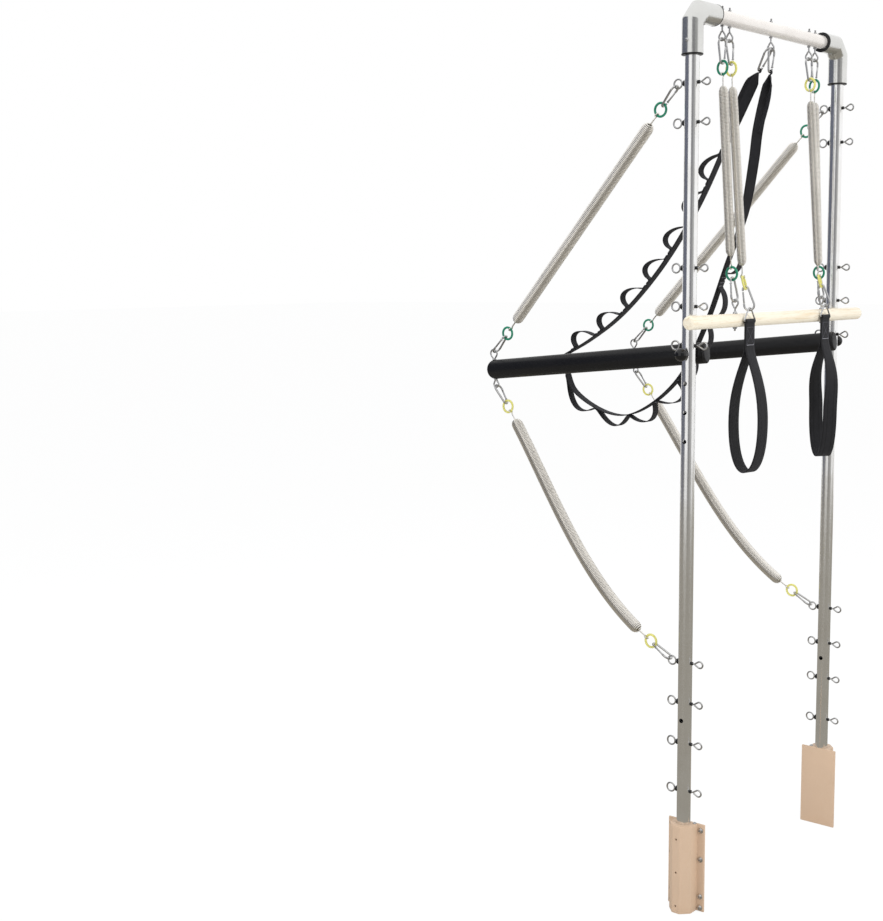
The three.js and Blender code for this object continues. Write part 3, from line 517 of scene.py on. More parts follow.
@dataclass
class Nodes:
    """A material under construction, with its shader."""

    name: str
    material: Material = field(init=False)
    shader: bpy.types.Node = field(init=False)

    def __post_init__(self) -> None:
        """Makes the material and finds its shader."""
        self.material = bpy.data.materials.new(self.name)
        self.material.use_nodes = True
        self.shader = self.material.node_tree.nodes["Principled BSDF"]

    def add(self, kind: str, output: str | int, inputs: Inputs, **settings: object) -> Socket:
        """Adds a node to the material, as the function add does."""
        return add(self.material.node_tree, kind, output, inputs, **settings)

    def link(self, output: Socket, name: str) -> None:
        """Joins an output to one of the shader's inputs."""
        self.material.node_tree.links.new(output, self.shader.inputs[name])

    def set(self, **values: object) -> None:
        """Sets the shader's own sockets, words joined by underscores."""
        for key, value in values.items():
            self.shader.inputs[key.replace("_", " ")].default_value = value

    def place(self, scale: Triple = (1, 1, 1), uv: bool = False) -> Socket:
        """The piece's own coordinates, or those of its own map, scaled."""
        source = self.add("ShaderNodeTexCoord", "UV" if uv else "Object", {})
        return self.add("ShaderNodeMapping", "Vector", {"Vector": source, "Scale": scale})

    def noise(self, place: Socket, scale: float, detail: float = 3, roughness: float = 0.5) -> Socket:
        """Cloudy noise over a place, its scale in features to the metre."""
        sizes = {"Scale": scale, "Detail": detail, "Roughness": roughness}
        return self.add("ShaderNodeTexNoise", "Fac", {"Vector": place, **sizes})

    def ramp(self, factor: Socket, stops: Sequence[tuple[float, Triple]]) -> Socket:
        """Colours along a factor.

        Args:
            factor: What is read.
            stops: The spots, from 0 to 1, and their colours.

        Returns:
            The colour.
        """
        colours = self.add("ShaderNodeValToRGB", "Color", {"Fac": factor})
        elements = colours.node.color_ramp.elements
        while len(elements) < len(stops):
            elements.new(0.5)
        for element, (spot, colour) in zip(elements, stops):
            element.position = spot
            element.color = (*colour, 1)
        return colours

    def span(self, factor: Socket, low: float, high: float, start: float = 0, stop: float = 1) -> Socket:
        """A factor carried over from start and stop to low and high."""
        ends = {"From Min": start, "From Max": stop, "To Min": low, "To Max": high}
        return self.add("ShaderNodeMapRange", "Result", {"Value": factor, **ends})

    def maths(self, operation: str, a: Socket | float, b: Socket | float = 0) -> Socket:
        """One sum of two numbers or sockets."""
        return self.add("ShaderNodeMath", "Value", {0: a, 1: b}, operation=operation)

    def weighed(self, a: Socket, share: float, b: Socket, rest: float) -> Socket:
        """The sum of two factors, each times its own weight."""
        return self.maths("ADD", self.maths("MULTIPLY", a, share), self.maths("MULTIPLY", b, rest))

    def blend(self, factor: Socket, under: Socket, over: Triple) -> Socket:
        """One colour laid over another by a factor."""
        # The node's colour sockets share their names with its number sockets, so they go by place.
        return self.add("ShaderNodeMix", 2, {"Factor": factor, 6: under, 7: (*over, 1)}, data_type="RGBA")

    def bump(self, height: Socket, depth: float, strength: float = 1) -> None:
        """Raises the surface by a height times a depth in millimetres."""
        sizes = {"Distance": depth * MM, "Strength": strength}
        self.link(self.add("ShaderNodeBump", "Normal", {"Height": height, **sizes}), "Normal")

    def colour(self, socket: Socket) -> None:
        """Sends a colour to the shader."""
        self.link(socket, "Base Color")

    def rough(self, socket: Socket) -> None:
        """Sends a roughness to the shader."""
        self.link(socket, "Roughness")


@dataclass(frozen=True)
class Metal:
    """Bare or plated metal, with fine draw lines and the dulling of handling.

    Attributes:
        gloss: Its roughness where it is clean.
        haze: Its roughness where it is handled or stained.
        grain: Stretch of the pattern along each axis.
        bare: How much of it is bare metal.
    """

    name: str
    light: Triple
    dull: Triple
    gloss: float
    haze: float
    grain: Triple = (1, 1, 1)
    depth: float = 0.01
    scale: float = 900
    bare: float = 1.0

    def make(self) -> Material:
        """Builds the material."""
        nodes = Nodes(self.name)
        nodes.set(Metallic=self.bare)
        fine = nodes.noise(nodes.place(self.grain), self.scale, 4)
        broad = nodes.noise(nodes.place(), 14, 3)
        nodes.colour(nodes.ramp(broad, [(0.38, self.light), (0.72, self.dull)]))
        nodes.rough(nodes.span(nodes.weighed(fine, 0.6, broad, 0.4), self.gloss, self.haze, 0.35, 0.65))
        nodes.bump(fine, self.depth)
        return nodes.material


@dataclass(frozen=True)
class Paint:
    """Powder coat with a fine orange peel, speckled where two colours are given.

    Attributes:
        speckle: The colour of its finest specks.
        worn: How much rougher it is where it is rubbed.
    """

    name: str
    ground: Triple
    speckle: Triple
    gloss: float
    worn: float = 0.12

    def make(self) -> Material:
        """Builds the material."""
        nodes = Nodes(self.name)
        place = nodes.place()
        specks = nodes.noise(place, 1400, 2, 0.7)
        clouds = nodes.noise(place, 9, 3)
        mottled = nodes.ramp(clouds, [(0.3, self.ground), (0.75, tuple(0.93 * c for c in self.ground))])
        nodes.colour(nodes.blend(nodes.span(specks, 0, 0.55, 0.56, 0.68), mottled, self.speckle))
        nodes.rough(nodes.span(clouds, self.gloss, self.gloss + self.worn, 0.35, 0.7))
        peel = nodes.maths("ADD", nodes.noise(place, 420, 2), nodes.maths("MULTIPLY", specks, 0.35))
        nodes.bump(peel, 0.06, 0.7)
        nodes.set(Coat_Weight=0.12, Coat_Roughness=0.2, Specular_IOR_Level=0.3)
        return nodes.material


@dataclass(frozen=True)
class Moulded:
    """Moulded plastic with a fine spark texture.

    Attributes:
        clear: How much light passes through it.
        glow: How far light spreads inside it.
    """

    name: str
    ground: Triple
    gloss: float
    relief: float = 0.02
    clear: float = 0.0
    glow: float = 0.0

    def make(self) -> Material:
        """Builds the material."""
        nodes = Nodes(self.name)
        place = nodes.place()
        fine = nodes.noise(place, 1500, 3)
        clouds = nodes.noise(place, 40, 2)
        paler = tuple(min(1.0, 1.12 * c + 0.004) for c in self.ground)
        nodes.colour(nodes.ramp(clouds, [(0.35, self.ground), (0.7, paler)]))
        nodes.rough(nodes.span(fine, self.gloss - 0.05, self.gloss + 0.08, 0.3, 0.7))
        nodes.bump(fine, self.relief, 0.8)
        nodes.set(IOR=1.49, Transmission_Weight=self.clear, Subsurface_Weight=self.glow)
        nodes.set(Subsurface_Radius=(0.004, 0.004, 0.003))
        return nodes.material


@dataclass(frozen=True)
class Beech:
    """Clear-lacquered beech with its grain along X: early wood, late wood and short dark flecks."""

    name: str = "lacquered_beech"
    pale: Triple = (0.90, 0.82, 0.66)
    brown: Triple = (0.82, 0.69, 0.49)
    fleck: Triple = (0.62, 0.47, 0.30)

    def make(self) -> Material:
        """Builds the material."""
        nodes = Nodes(self.name)
        bands = nodes.noise(nodes.place((0.9, 22, 22)), 6, 4, 0.55)
        wood = nodes.ramp(bands, [(0.36, self.pale), (0.52, self.pale), (0.66, self.brown)])
        rays = nodes.noise(nodes.place((40, 620, 620)), 1, 2, 0.4)
        nodes.colour(nodes.blend(nodes.span(rays, 0, 0.55, 0.60, 0.72), wood, self.fleck))
        nodes.rough(nodes.span(bands, 0.30, 0.44, 0.35, 0.65))
        nodes.bump(nodes.maths("ADD", bands, nodes.maths("MULTIPLY", rays, -0.5)), 0.08, 0.6)
        nodes.set(Coat_Weight=0.35, Coat_Roughness=0.22, IOR=1.5)
        return nodes.material


@dataclass(frozen=True)
class Webbing:
    """Woven nylon webbing: ribs across it, a twill of yarns and a firm selvedge.

    Its pattern follows the piece's own map, which runs in metres along and across the band.

    Attributes:
        lines: Where grooved stripes run along it, as shares of its half width, darkened by painted shade.
        sheen: How strongly its fuzz shines at a glancing angle.
    """

    name: str
    dark: Triple = (0.006, 0.006, 0.008)
    lit: Triple = (0.040, 0.040, 0.047)
    width: float = 25
    pitch: float = 1.9
    lines: tuple[float, ...] = (0.86,)
    sheen: float = 0.35

    def make(self) -> Material:
        """Builds the material."""
        nodes = Nodes(self.name)
        place = nodes.place(uv=True)
        length = nodes.add("ShaderNodeSeparateXYZ", "X", {"Vector": place})
        across = length.node.outputs["Y"]
        turn = tau / (self.pitch * MM)
        rib = nodes.maths("SINE", nodes.maths("MULTIPLY", length, turn))
        lean = nodes.maths("ADD", nodes.maths("MULTIPLY", across, 0.9), length)
        yarn = nodes.maths("SINE", nodes.maths("MULTIPLY", lean, 1.7 * turn))
        half = self.width / 2 * MM
        away = nodes.maths("ABSOLUTE", across)
        height = nodes.span(nodes.weighed(rib, 0.35, yarn, 0.25), 0, 1, -0.6, 0.6)
        for share in self.lines:
            gap = nodes.maths("ABSOLUTE", nodes.maths("SUBTRACT", away, share * half))
            groove = nodes.span(gap, -1.2, 0, 0, 0.0011)
            height = nodes.maths("ADD", height, groove)
        fuzz = nodes.noise(place, 2600, 2)
        clouds = nodes.noise(nodes.place(), 26, 3)
        # Painted shade and light: the colour follows the weave's height, darker in the grooves and between
        # the ribs, lighter on their crests, and cloudy at random as well.
        shade = nodes.weighed(height, 0.55, clouds, 0.5)
        nodes.colour(nodes.ramp(shade, [(0.12, self.dark), (0.85, self.lit)]))
        nodes.rough(nodes.span(fuzz, 0.62, 0.85, 0.3, 0.7))
        nodes.bump(nodes.maths("ADD", height, nodes.maths("MULTIPLY", fuzz, 0.3)), 0.28, 0.8)
        nodes.set(Sheen_Weight=self.sheen, Sheen_Roughness=0.45, Sheen_Tint=(0.42, 0.42, 0.48, 1), IOR=1.46)
        return nodes.material


@dataclass(frozen=True)
class Thread:
    """Twisted sewing thread."""

    name: str = "sewing_thread"
    ground: Triple = (0.10, 0.10, 0.12)

    def make(self) -> Material:
        """Builds the material."""
        nodes = Nodes(self.name)
        twist = nodes.noise(nodes.place(), 3000, 2)
        paler = tuple(1.4 * c for c in self.ground)
        nodes.colour(nodes.ramp(twist, [(0.4, self.ground), (0.65, paler)]))
        nodes.bump(twist, 0.05)
        nodes.set(Roughness=0.7, Sheen_Weight=0.2)
        return nodes.material


Finish = Metal | Paint | Moulded | Beech | Webbing | Thread


def once(finish: Finish) -> Material:
    """A field whose finish is made once, along with the others."""
    return field(default_factory=finish.make)


@dataclass
class Finishes:
    """Every finish of the tower, made once."""

    chrome: Material = once(Metal(
        "polished_tube", (0.93, 0.93, 0.93), (0.86, 0.85, 0.83), 0.13, 0.24, (14, 14, 0.35), 0.006, 120))
    rail: Material = once(Metal(
        "polished_rail", (0.84, 0.80, 0.76), (0.79, 0.75, 0.71), 0.2, 0.32, (0.35, 14, 14), 0.003, 120, 0.35))
    alloy: Material = once(Metal(
        "cast_alloy", (0.78, 0.78, 0.76), (0.70, 0.70, 0.68), 0.16, 0.26, (1, 1, 1), 0.008, 300))
    zinc: Material = once(Metal(
        "zinc_plate", (0.66, 0.66, 0.66), (0.52, 0.52, 0.52), 0.16, 0.28, (1, 1, 1), 0.012, 700))
    spring: Material = once(Metal(
        "spring_wire", (0.96, 0.93, 0.88), (0.88, 0.85, 0.80), 0.16, 0.26, (1, 1, 1), 0.004, 800))
    sand: Material = once(Paint("sand_powder_coat", (0.63, 0.45, 0.31), (0.80, 0.69, 0.57), 0.42))
    paint: Material = once(Paint("black_powder_coat", (0.005, 0.005, 0.006), (0.012, 0.012, 0.014), 0.32))
    dull: Material = once(Moulded("black_moulding", (0.005, 0.005, 0.006), 0.38))
    glossy: Material = once(Moulded("black_ball", (0.004, 0.004, 0.005), 0.12, 0.004))
    green: Material = once(Moulded("green_ring", (0.010, 0.210, 0.120), 0.24, 0.008, 0.04, 0.10))
    yellow: Material = once(Moulded("yellow_ring", (0.74, 0.70, 0.20), 0.26, 0.008, 0.10, 0.15))
    beech: Material = once(Beech())
    strap: Material = once(Webbing(
        "strap_webbing", (0.003, 0.003, 0.004), (0.018, 0.018, 0.022), sheen=0.10))
    band: Material = once(Webbing(
        "loop_webbing", (0.003, 0.003, 0.004), (0.018, 0.018, 0.021), 36, 2.2, (0.40, 0.88), 0.14))
    thread: Material = once(Thread())
    pale_thread: Material = once(Thread("pale_thread", (0.42, 0.42, 0.46)))


def dress(piece: Piece, material: Material) -> Piece:
    """Gives the whole piece one finish."""
    piece.data.materials.clear()
    piece.data.materials.append(material)
    return piece


def fit(piece: Piece, body: Body, slot: Slot, *nodes: str) -> Piece:
    """Puts a finished piece on its body, in place of the nodes that it stands for.

    Args:
        piece: The finished piece.
        body: What it moves with.
        slot: Not used.
        nodes: The CAD nodes that it replaces.

    Returns:
        The same piece.
    """
    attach(piece, body.value)
    if nodes:
        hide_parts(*nodes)
    LOG.info("%s on %s", piece.name, body.value)
    return piece


def stretch(piece: Piece, slot: Slot, ends: tuple[Vector, Vector], *nodes: str) -> None:
    """Hides the nodes that a finished piece stands for, bakes its placing into its mesh and logs it as
    running between the frame and the push-through bar.

    Args:
        piece: The finished piece.
        slot: Not used.
        ends: Where the frame and where the bar holds it.
        nodes: The CAD nodes that it replaces.
    """
    if nodes:
        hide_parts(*nodes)
    start, end = (tuple(end * MM) for end in ends)
    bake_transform(piece)
    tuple(start)
    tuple(end)
    LOG.info("%s between %s and %s", piece.name, Body.FRAME.value, Body.PUSH_THROUGH.value)


# Hardware that repeats


@dataclass(frozen=True)
class Eye:
    """An eye that a snap link hangs in.

    Attributes:
        radius: From its middle to the middle of its wire.
        crown: The way to where a link bears on it, if that isn't the way of the hang.
    """

    centre: Vector
    radius: float
    gauge: float
    crown: Vector | None = None


@dataclass
class Hardware:
    """Eyes, nuts, screws, snap links and rings, in their own sizes.

    Attributes:
        neck: From an eye's wire to where its shank starts.
        nut_width: A nut across its corners.
        link_play: The gap between a link and what it hangs in.
    """

    finishes: Finishes
    gauge: float = 4
    shank: float = 4.5
    neck: float = 6
    nut_width: float = 9.2
    nut_height: float = 3.5
    link_length: float = 60
    link_width: float = 28
    link_tip: float = 18
    link_gauge: float = 5
    link_play: float = 0.5
    gate_gauge: float = 4.2
    ring_diameter: float = 35
    ring_gauge: float = 5.5

    def eye(self, centre: Vector, diameter: float) -> Eye:
        """An eye of the usual wire, from its outer diameter."""
        return Eye(centre, (diameter - self.gauge) / 2, self.gauge)

    def closed_ring(self, name: str, centre: Vector, u: Vector, v: Vector, diameter: float) -> Piece:
        """A welded ring of wire in the plane of two axes."""
        outline = arc(0, 0, (diameter - self.gauge) / 2, 0, tau, 40)[:-1]
        return wire(name, in_plane(outline, centre, u, v), self.gauge, 12, closed=True)

    def bent_eye(self, name: str, centre: Vector, toward: Vector, across: Vector, diameter: float,
                 tail: float) -> Piece:
        """An eye bent from the end of a shank.

        Args:
            name: The piece's name.
            centre: The eye's middle.
            toward: The way from the eye to its shank.
            across: The other axis of the eye's plane.
            diameter: The eye's outer diameter.
            tail: The shank's length past the neck.

        Returns:
            The eye and its shank as one wire.
        """
        radius = (diameter - self.gauge) / 2
        reach = radius + self.neck
        shoulder = acos(radius / reach)
        start = [(reach + tail, 0), (reach + 1.5, 0), (reach, 0.25), (reach - 1.6, 1.3)]
        end = [(reach - 2.2, -2.2), (reach - 1.2, -1.7)]
        outline = start + arc(0, 0, radius, shoulder * 0.92, tau - shoulder * 0.92, 36) + end
        return wire(name, in_plane(outline, centre, toward, across), self.gauge, 12)

    def nut(self, name: str, start: Vector, direction: Vector, width: float = 0,
            height: float = 0) -> Piece:
        """A hexagon nut with its corners eased, standing on a face."""
        width, height = width or self.nut_width, height or self.nut_height
        piece = rod(name, start, start + direction * height, width, 6)
        return soften(piece, 0.5, 2, 40)

    def washer(self, name: str, start: Vector, direction: Vector, width: float, height: float) -> Piece:
        """A round washer with eased rims."""
        return smooth(soften(rod(name, start, start + direction * height, width, 32), 0.4, 2, 40))

    def thread(self, name: str, start: Vector, direction: Vector, diameter: float,
               length: float) -> Piece:
        """A threaded end, ridged along its length.

        Args:
            name: The piece's name.
            start: Its first end.
            direction: Its way.
            diameter: Its outer diameter.
            length: Its length.

        Returns:
            The threaded end.
        """
        ridge, root, pitch = diameter / 2, diameter / 2 - 0.35, 0.8
        count = max(4, 2 * round(length / pitch))
        radii = [ridge if i % 2 else root for i in range(count)] + [root - 0.4]
        return self.turned(name, [(radius, length * i / count) for i, radius in enumerate(radii)],
                           standing(direction, start), 16)

    def turned(self, name: str, profile: Outline, place: Matrix, sides: int = 32) -> Piece:
        """A piece turned about its Z axis, from radii and heights, then placed.

        Args:
            name: The piece's name.
            profile: Its radii and heights, from the foot.
            place: Its placing.
            sides: The faces round it.

        Returns:
            The piece.
        """
        rings = []
        for radius, height in profile:
            circle = arc(0, 0, max(radius, 0.04), 0, tau, sides)[:-1]
            rings.append([Vector((x, y, height)) for x, y in circle])
        return smooth(moved(loft(name, rings), place), 40)

    def dome_screw(self, name: str, seat: Vector, outward: Vector, radius: float, height: float) -> Piece:
        """A button-head screw with a hexagon socket, on a face.

        Args:
            name: The piece's name.
            seat: The middle of its seat.
            outward: The way out of the face.
            radius: The head's radius.
            height: The head's height.

        Returns:
            The screw, in zinc.
        """
        dome = [(radius, 0), (radius, 0.25 * height)]
        dome += [(radius * cos(a), height * (0.25 + 0.75 * sin(a))) for a in (0.35, 0.7, 1.05, 1.3)]
        head = self.turned(name, dome, standing(outward, seat), 28)
        bottom, top = seat + outward * (0.45 * height), seat + outward * (height + 2)
        return dress(smooth(cut(head, rod("socket", bottom, top, 0.9 * radius, 6)), 40), self.finishes.zinc)

    def grub_screw(self, name: str, bottom: Vector, outward: Vector, diameter: float) -> Piece:
        """A black socket screw sunk in its hole."""
        body = soften(rod(name, bottom, bottom + outward * 4, diameter, 24), 0.3, 2, 40)
        socket = rod("socket", bottom + outward * 1.5, bottom + outward * 6, 0.55 * diameter, 6)
        return dress(smooth(cut(body, socket), 40), self.finishes.dull)

    def nest(self, gauge: float, next_gauge: float) -> float:
        """How far inside a link's wire the next link's wire lies."""
        return (gauge + next_gauge) / 2 + self.link_play

    def snap_link(self) -> Piece:
        """A pear-shaped snap link, from its broad end at the origin down the Y axis, gate on the X side."""
        broad = (self.link_width - self.link_gauge) / 2
        narrow = (self.link_tip - self.link_gauge) / 2
        reach = self.link_length - self.link_gauge
        tilt = asin((broad - narrow) / (reach - broad - narrow))
        upper = arc(0, -broad, broad, -tilt, pi + tilt, 22)
        lower = arc(0, narrow - reach, narrow, pi + tilt, tau - tilt, 16)
        nose, heel = Vector((*upper[0], 0)), Vector((*lower[-1], 0))
        run = (nose - heel).normalized()
        outline = [nose - run * 4.5, *(Vector((*p, 0)) for p in upper + lower), heel + run * 3]
        frame_wire = wire("link_body", outline, self.link_gauge, 12)
        hinge, tip = heel + run * 4.5, nose - run * 5.0
        radius = self.gate_gauge / 2
        profile = [(0.3 * radius, 0), (0.8 * radius, 0.5), (radius, 1.4)]
        span = (tip - hinge).length
        profile += [(radius, span - 1.2), (0.8 * radius, span - 0.4), (0.4 * radius, span)]
        gate = self.turned("link_gate", profile, standing(run, hinge), 12)
        half = Vector((0, 0, self.link_gauge / 2 + 0.6))
        pin = hinge + run * 2.2
        rivet = smooth(soften(rod("link_rivet", pin - half, pin + half, 2.8, 16), 0.5, 2, 40))
        catch = nose - run * 3.4
        bar = rod("link_catch", catch - half * 0.85, catch + half * 0.85, 1.8, 12)
        return dress(join("snap_link", [frame_wire, gate, rivet, smooth(bar)]), self.finishes.zinc)

    def plastic_ring(self) -> Piece:
        """A coloured ring about the Z axis, a little flat on its faces."""
        deselect()
        major = (self.ring_diameter - self.ring_gauge) / 2
        bpy.ops.mesh.primitive_torus_add(major_segments=56, minor_segments=14, major_radius=major * MM,
                                         minor_radius=self.ring_gauge / 2 * MM)
        piece = bpy.context.object
        bpy.ops.object.mode_set(mode="EDIT")
        bpy.ops.mesh.select_all(action="SELECT")
        bpy.ops.transform.resize(value=(1, 1, 0.92))
        bpy.ops.object.mode_set(mode="OBJECT")
        return smooth(settle(piece, "plastic_ring"), 60)


@dataclass
class Spring:
    """A closed-wound tension spring with rounded ends and an eye at each end.

    Attributes:
        normals: The facing of the ring at each end.
        tail: The straight wire at each end.
        crown: The length over which the coils grow to full size.
        pitch_share: The pitch as a share of the wire.
    """

    name: str
    route: Route
    diameter: float
    gauge: float
    ring_gauge: float
    normals: tuple[Vector, Vector]
    tail: float = 25
    crown: float = 15
    turn_steps: int = 14
    pitch_share: float = 1.0

    def hook(self, centre: Vector, inward: Vector, normal: Vector) -> list[Vector]:
        """The end eye round a ring, from its tip to the start of the straight wire.

        Args:
            centre: The middle of the ring's section.
            inward: The way to the coils.
            normal: The ring's facing.

        Returns:
            The wire's points.
        """
        radius = (self.ring_gauge + self.gauge) / 2 + 0.2
        side = (normal - inward * normal.dot(inward)).normalized()
        turned = [radians(a) for a in range(-305, -29, 15)]
        curl = [centre + inward * (radius * cos(a)) + side * (radius * sin(a)) for a in turned]
        return curl + [centre + inward * (radius + 3.5) - side * 0.6]

    def coil(self) -> list[Vector]:
        """The coils, from one straight end to the other."""
        body = self.route.length - 2 * self.tail
        turns = round(body / (self.gauge * self.pitch_share))
        steps = turns * self.turn_steps
        reach = (self.diameter - self.gauge) / 2
        points = []
        for i in range(steps + 1):
            distance = self.tail + body * i / steps
            along = self.route.along(distance)
            level = (X - along * X.dot(along)).normalized()
            near = min(1.0, min(distance - self.tail, self.tail + body - distance) / self.crown)
            radius = reach * sqrt(max(0.0, 1 - (1 - near) ** 2))
            outward = Quaternion(along, tau * i / self.turn_steps) @ level
            points.append(self.route.at(distance) + outward * radius)
        return points

    def build(self) -> Piece:
        """Makes the spring as one wire."""
        ends = (self.route.at(0), self.route.at(self.route.length))
        start = self.hook(ends[0], self.route.along(2), self.normals[0])
        finish = self.hook(ends[1], -self.route.along(self.route.length - 2), self.normals[1])
        return wire(self.name, [*start, *self.coil(), *reversed(finish)], self.gauge, 8)


@dataclass
class Line:
    """A spring between two eyes, with a snap link and a coloured ring at each end.

    Attributes:
        facings: The turn of upper link, upper ring, lower ring and lower link, in degrees.
        bodies: What its upper and its lower end move with.
        sag: How far its links turn down at the lower and the upper end, as shares of its span.
        curve: How far the spring bends with them, as a share of its length; 0 is straight.
    """

    name: str
    upper: Eye
    lower: Eye
    facings: Turns
    diameter: float
    gauge: float
    bodies: tuple[Body, Body]
    ring: Material
    sag: Pair = (0, 0)
    curve: float = 0
    steps: int = 160

    @staticmethod
    def facing(hang: Vector, angle: float) -> Vector:
        """The way that a link faces: across the hang, turned round it from the X axis."""
        up = hang * copysign(1, hang.z)
        level = (X - up * X.dot(up)).normalized()
        return Quaternion(up, radians(angle)) @ level

    def end(self, hardware: Hardware, eye: Eye, hang: Vector, turns: Pair, place: str, body: Body,
            patterns: Patterns) -> tuple[Vector, Vector]:
        """Hangs a snap link and a ring from an eye.

        Args:
            hardware: The sizes of links and rings.
            eye: What they hang from.
            hang: The way that they hang.
            turns: The facings of link and ring, in degrees.
            place: The end's name, upper or lower.
            body: What they move with.
            patterns: A snap link and a ring to copy.

        Returns:
            Where the spring holds the ring, and the ring's facing.
        """
        link, ring = patterns
        crown = hang if eye.crown is None else eye.crown
        seat = eye.centre + crown * eye.radius - hang * hardware.nest(eye.gauge, hardware.link_gauge)
        normal = self.facing(hang, turns[0])
        up = -hang
        hung = copied(link, f"{self.name}_{place}_snap", frame_of(up.cross(normal), up, normal, seat))
        fit(hung, body, Slot.STEEL, f"{self.name}_{place}_link")
        radius = (hardware.ring_diameter - hardware.ring_gauge) / 2
        reach = hardware.link_length - hardware.link_gauge
        centre = seat + hang * (reach + radius - hardware.nest(hardware.link_gauge, hardware.ring_gauge))
        face = self.facing(hang, turns[1])
        loop = copied(ring, f"{self.name}_{place}_ring", frame_of(hang, face.cross(hang), face, centre))
        dress(loop, self.ring)
        fit(loop, body, Slot.SPRING)
        return centre + hang * radius, face

    def build(self, hardware: Hardware, patterns: Patterns) -> None:
        """Makes both ends and the spring between them.

        Args:
            hardware: The sizes of links and rings.
            patterns: A snap link and a ring to copy.
        """
        span = self.lower.centre - self.upper.centre
        sink = X.cross(span).normalized() * span.length
        if sink.z > 0:
            sink.negate()
        upper_bend = self.upper.centre + span / 3 + sink * self.sag[1]
        lower_bend = self.upper.centre + span * (2 / 3) + sink * self.sag[0]
        down = (upper_bend - self.upper.centre).normalized()
        up = (lower_bend - self.lower.centre).normalized()
        upper = (self.facings[0], self.facings[1])
        lower = (self.facings[3], self.facings[2])
        top, top_face = self.end(hardware, self.upper, down, upper, "upper", self.bodies[0], patterns)
        foot, foot_face = self.end(hardware, self.lower, up, lower, "lower", self.bodies[1], patterns)
        handle = (foot - top).length * self.curve
        route = Route([bezier(top, top + down * handle, foot + up * handle, foot, i / self.steps)
                       for i in range(self.steps + 1)])
        coil = Spring(f"{self.name}_coil", route, self.diameter, self.gauge, hardware.ring_gauge,
                      (top_face, foot_face)).build()
        dress(coil, hardware.finishes.spring)
        if self.bodies[0] is self.bodies[1]:
            fit(coil, self.bodies[0], Slot.SPRING, f"{self.name}_spring")
            return
        ends = {self.bodies[0]: top, self.bodies[1]: foot}
        stretch(coil, Slot.SPRING, (ends[Body.FRAME], ends[Body.PUSH_THROUGH]), f"{self.name}_spring")


# The tower's assemblies


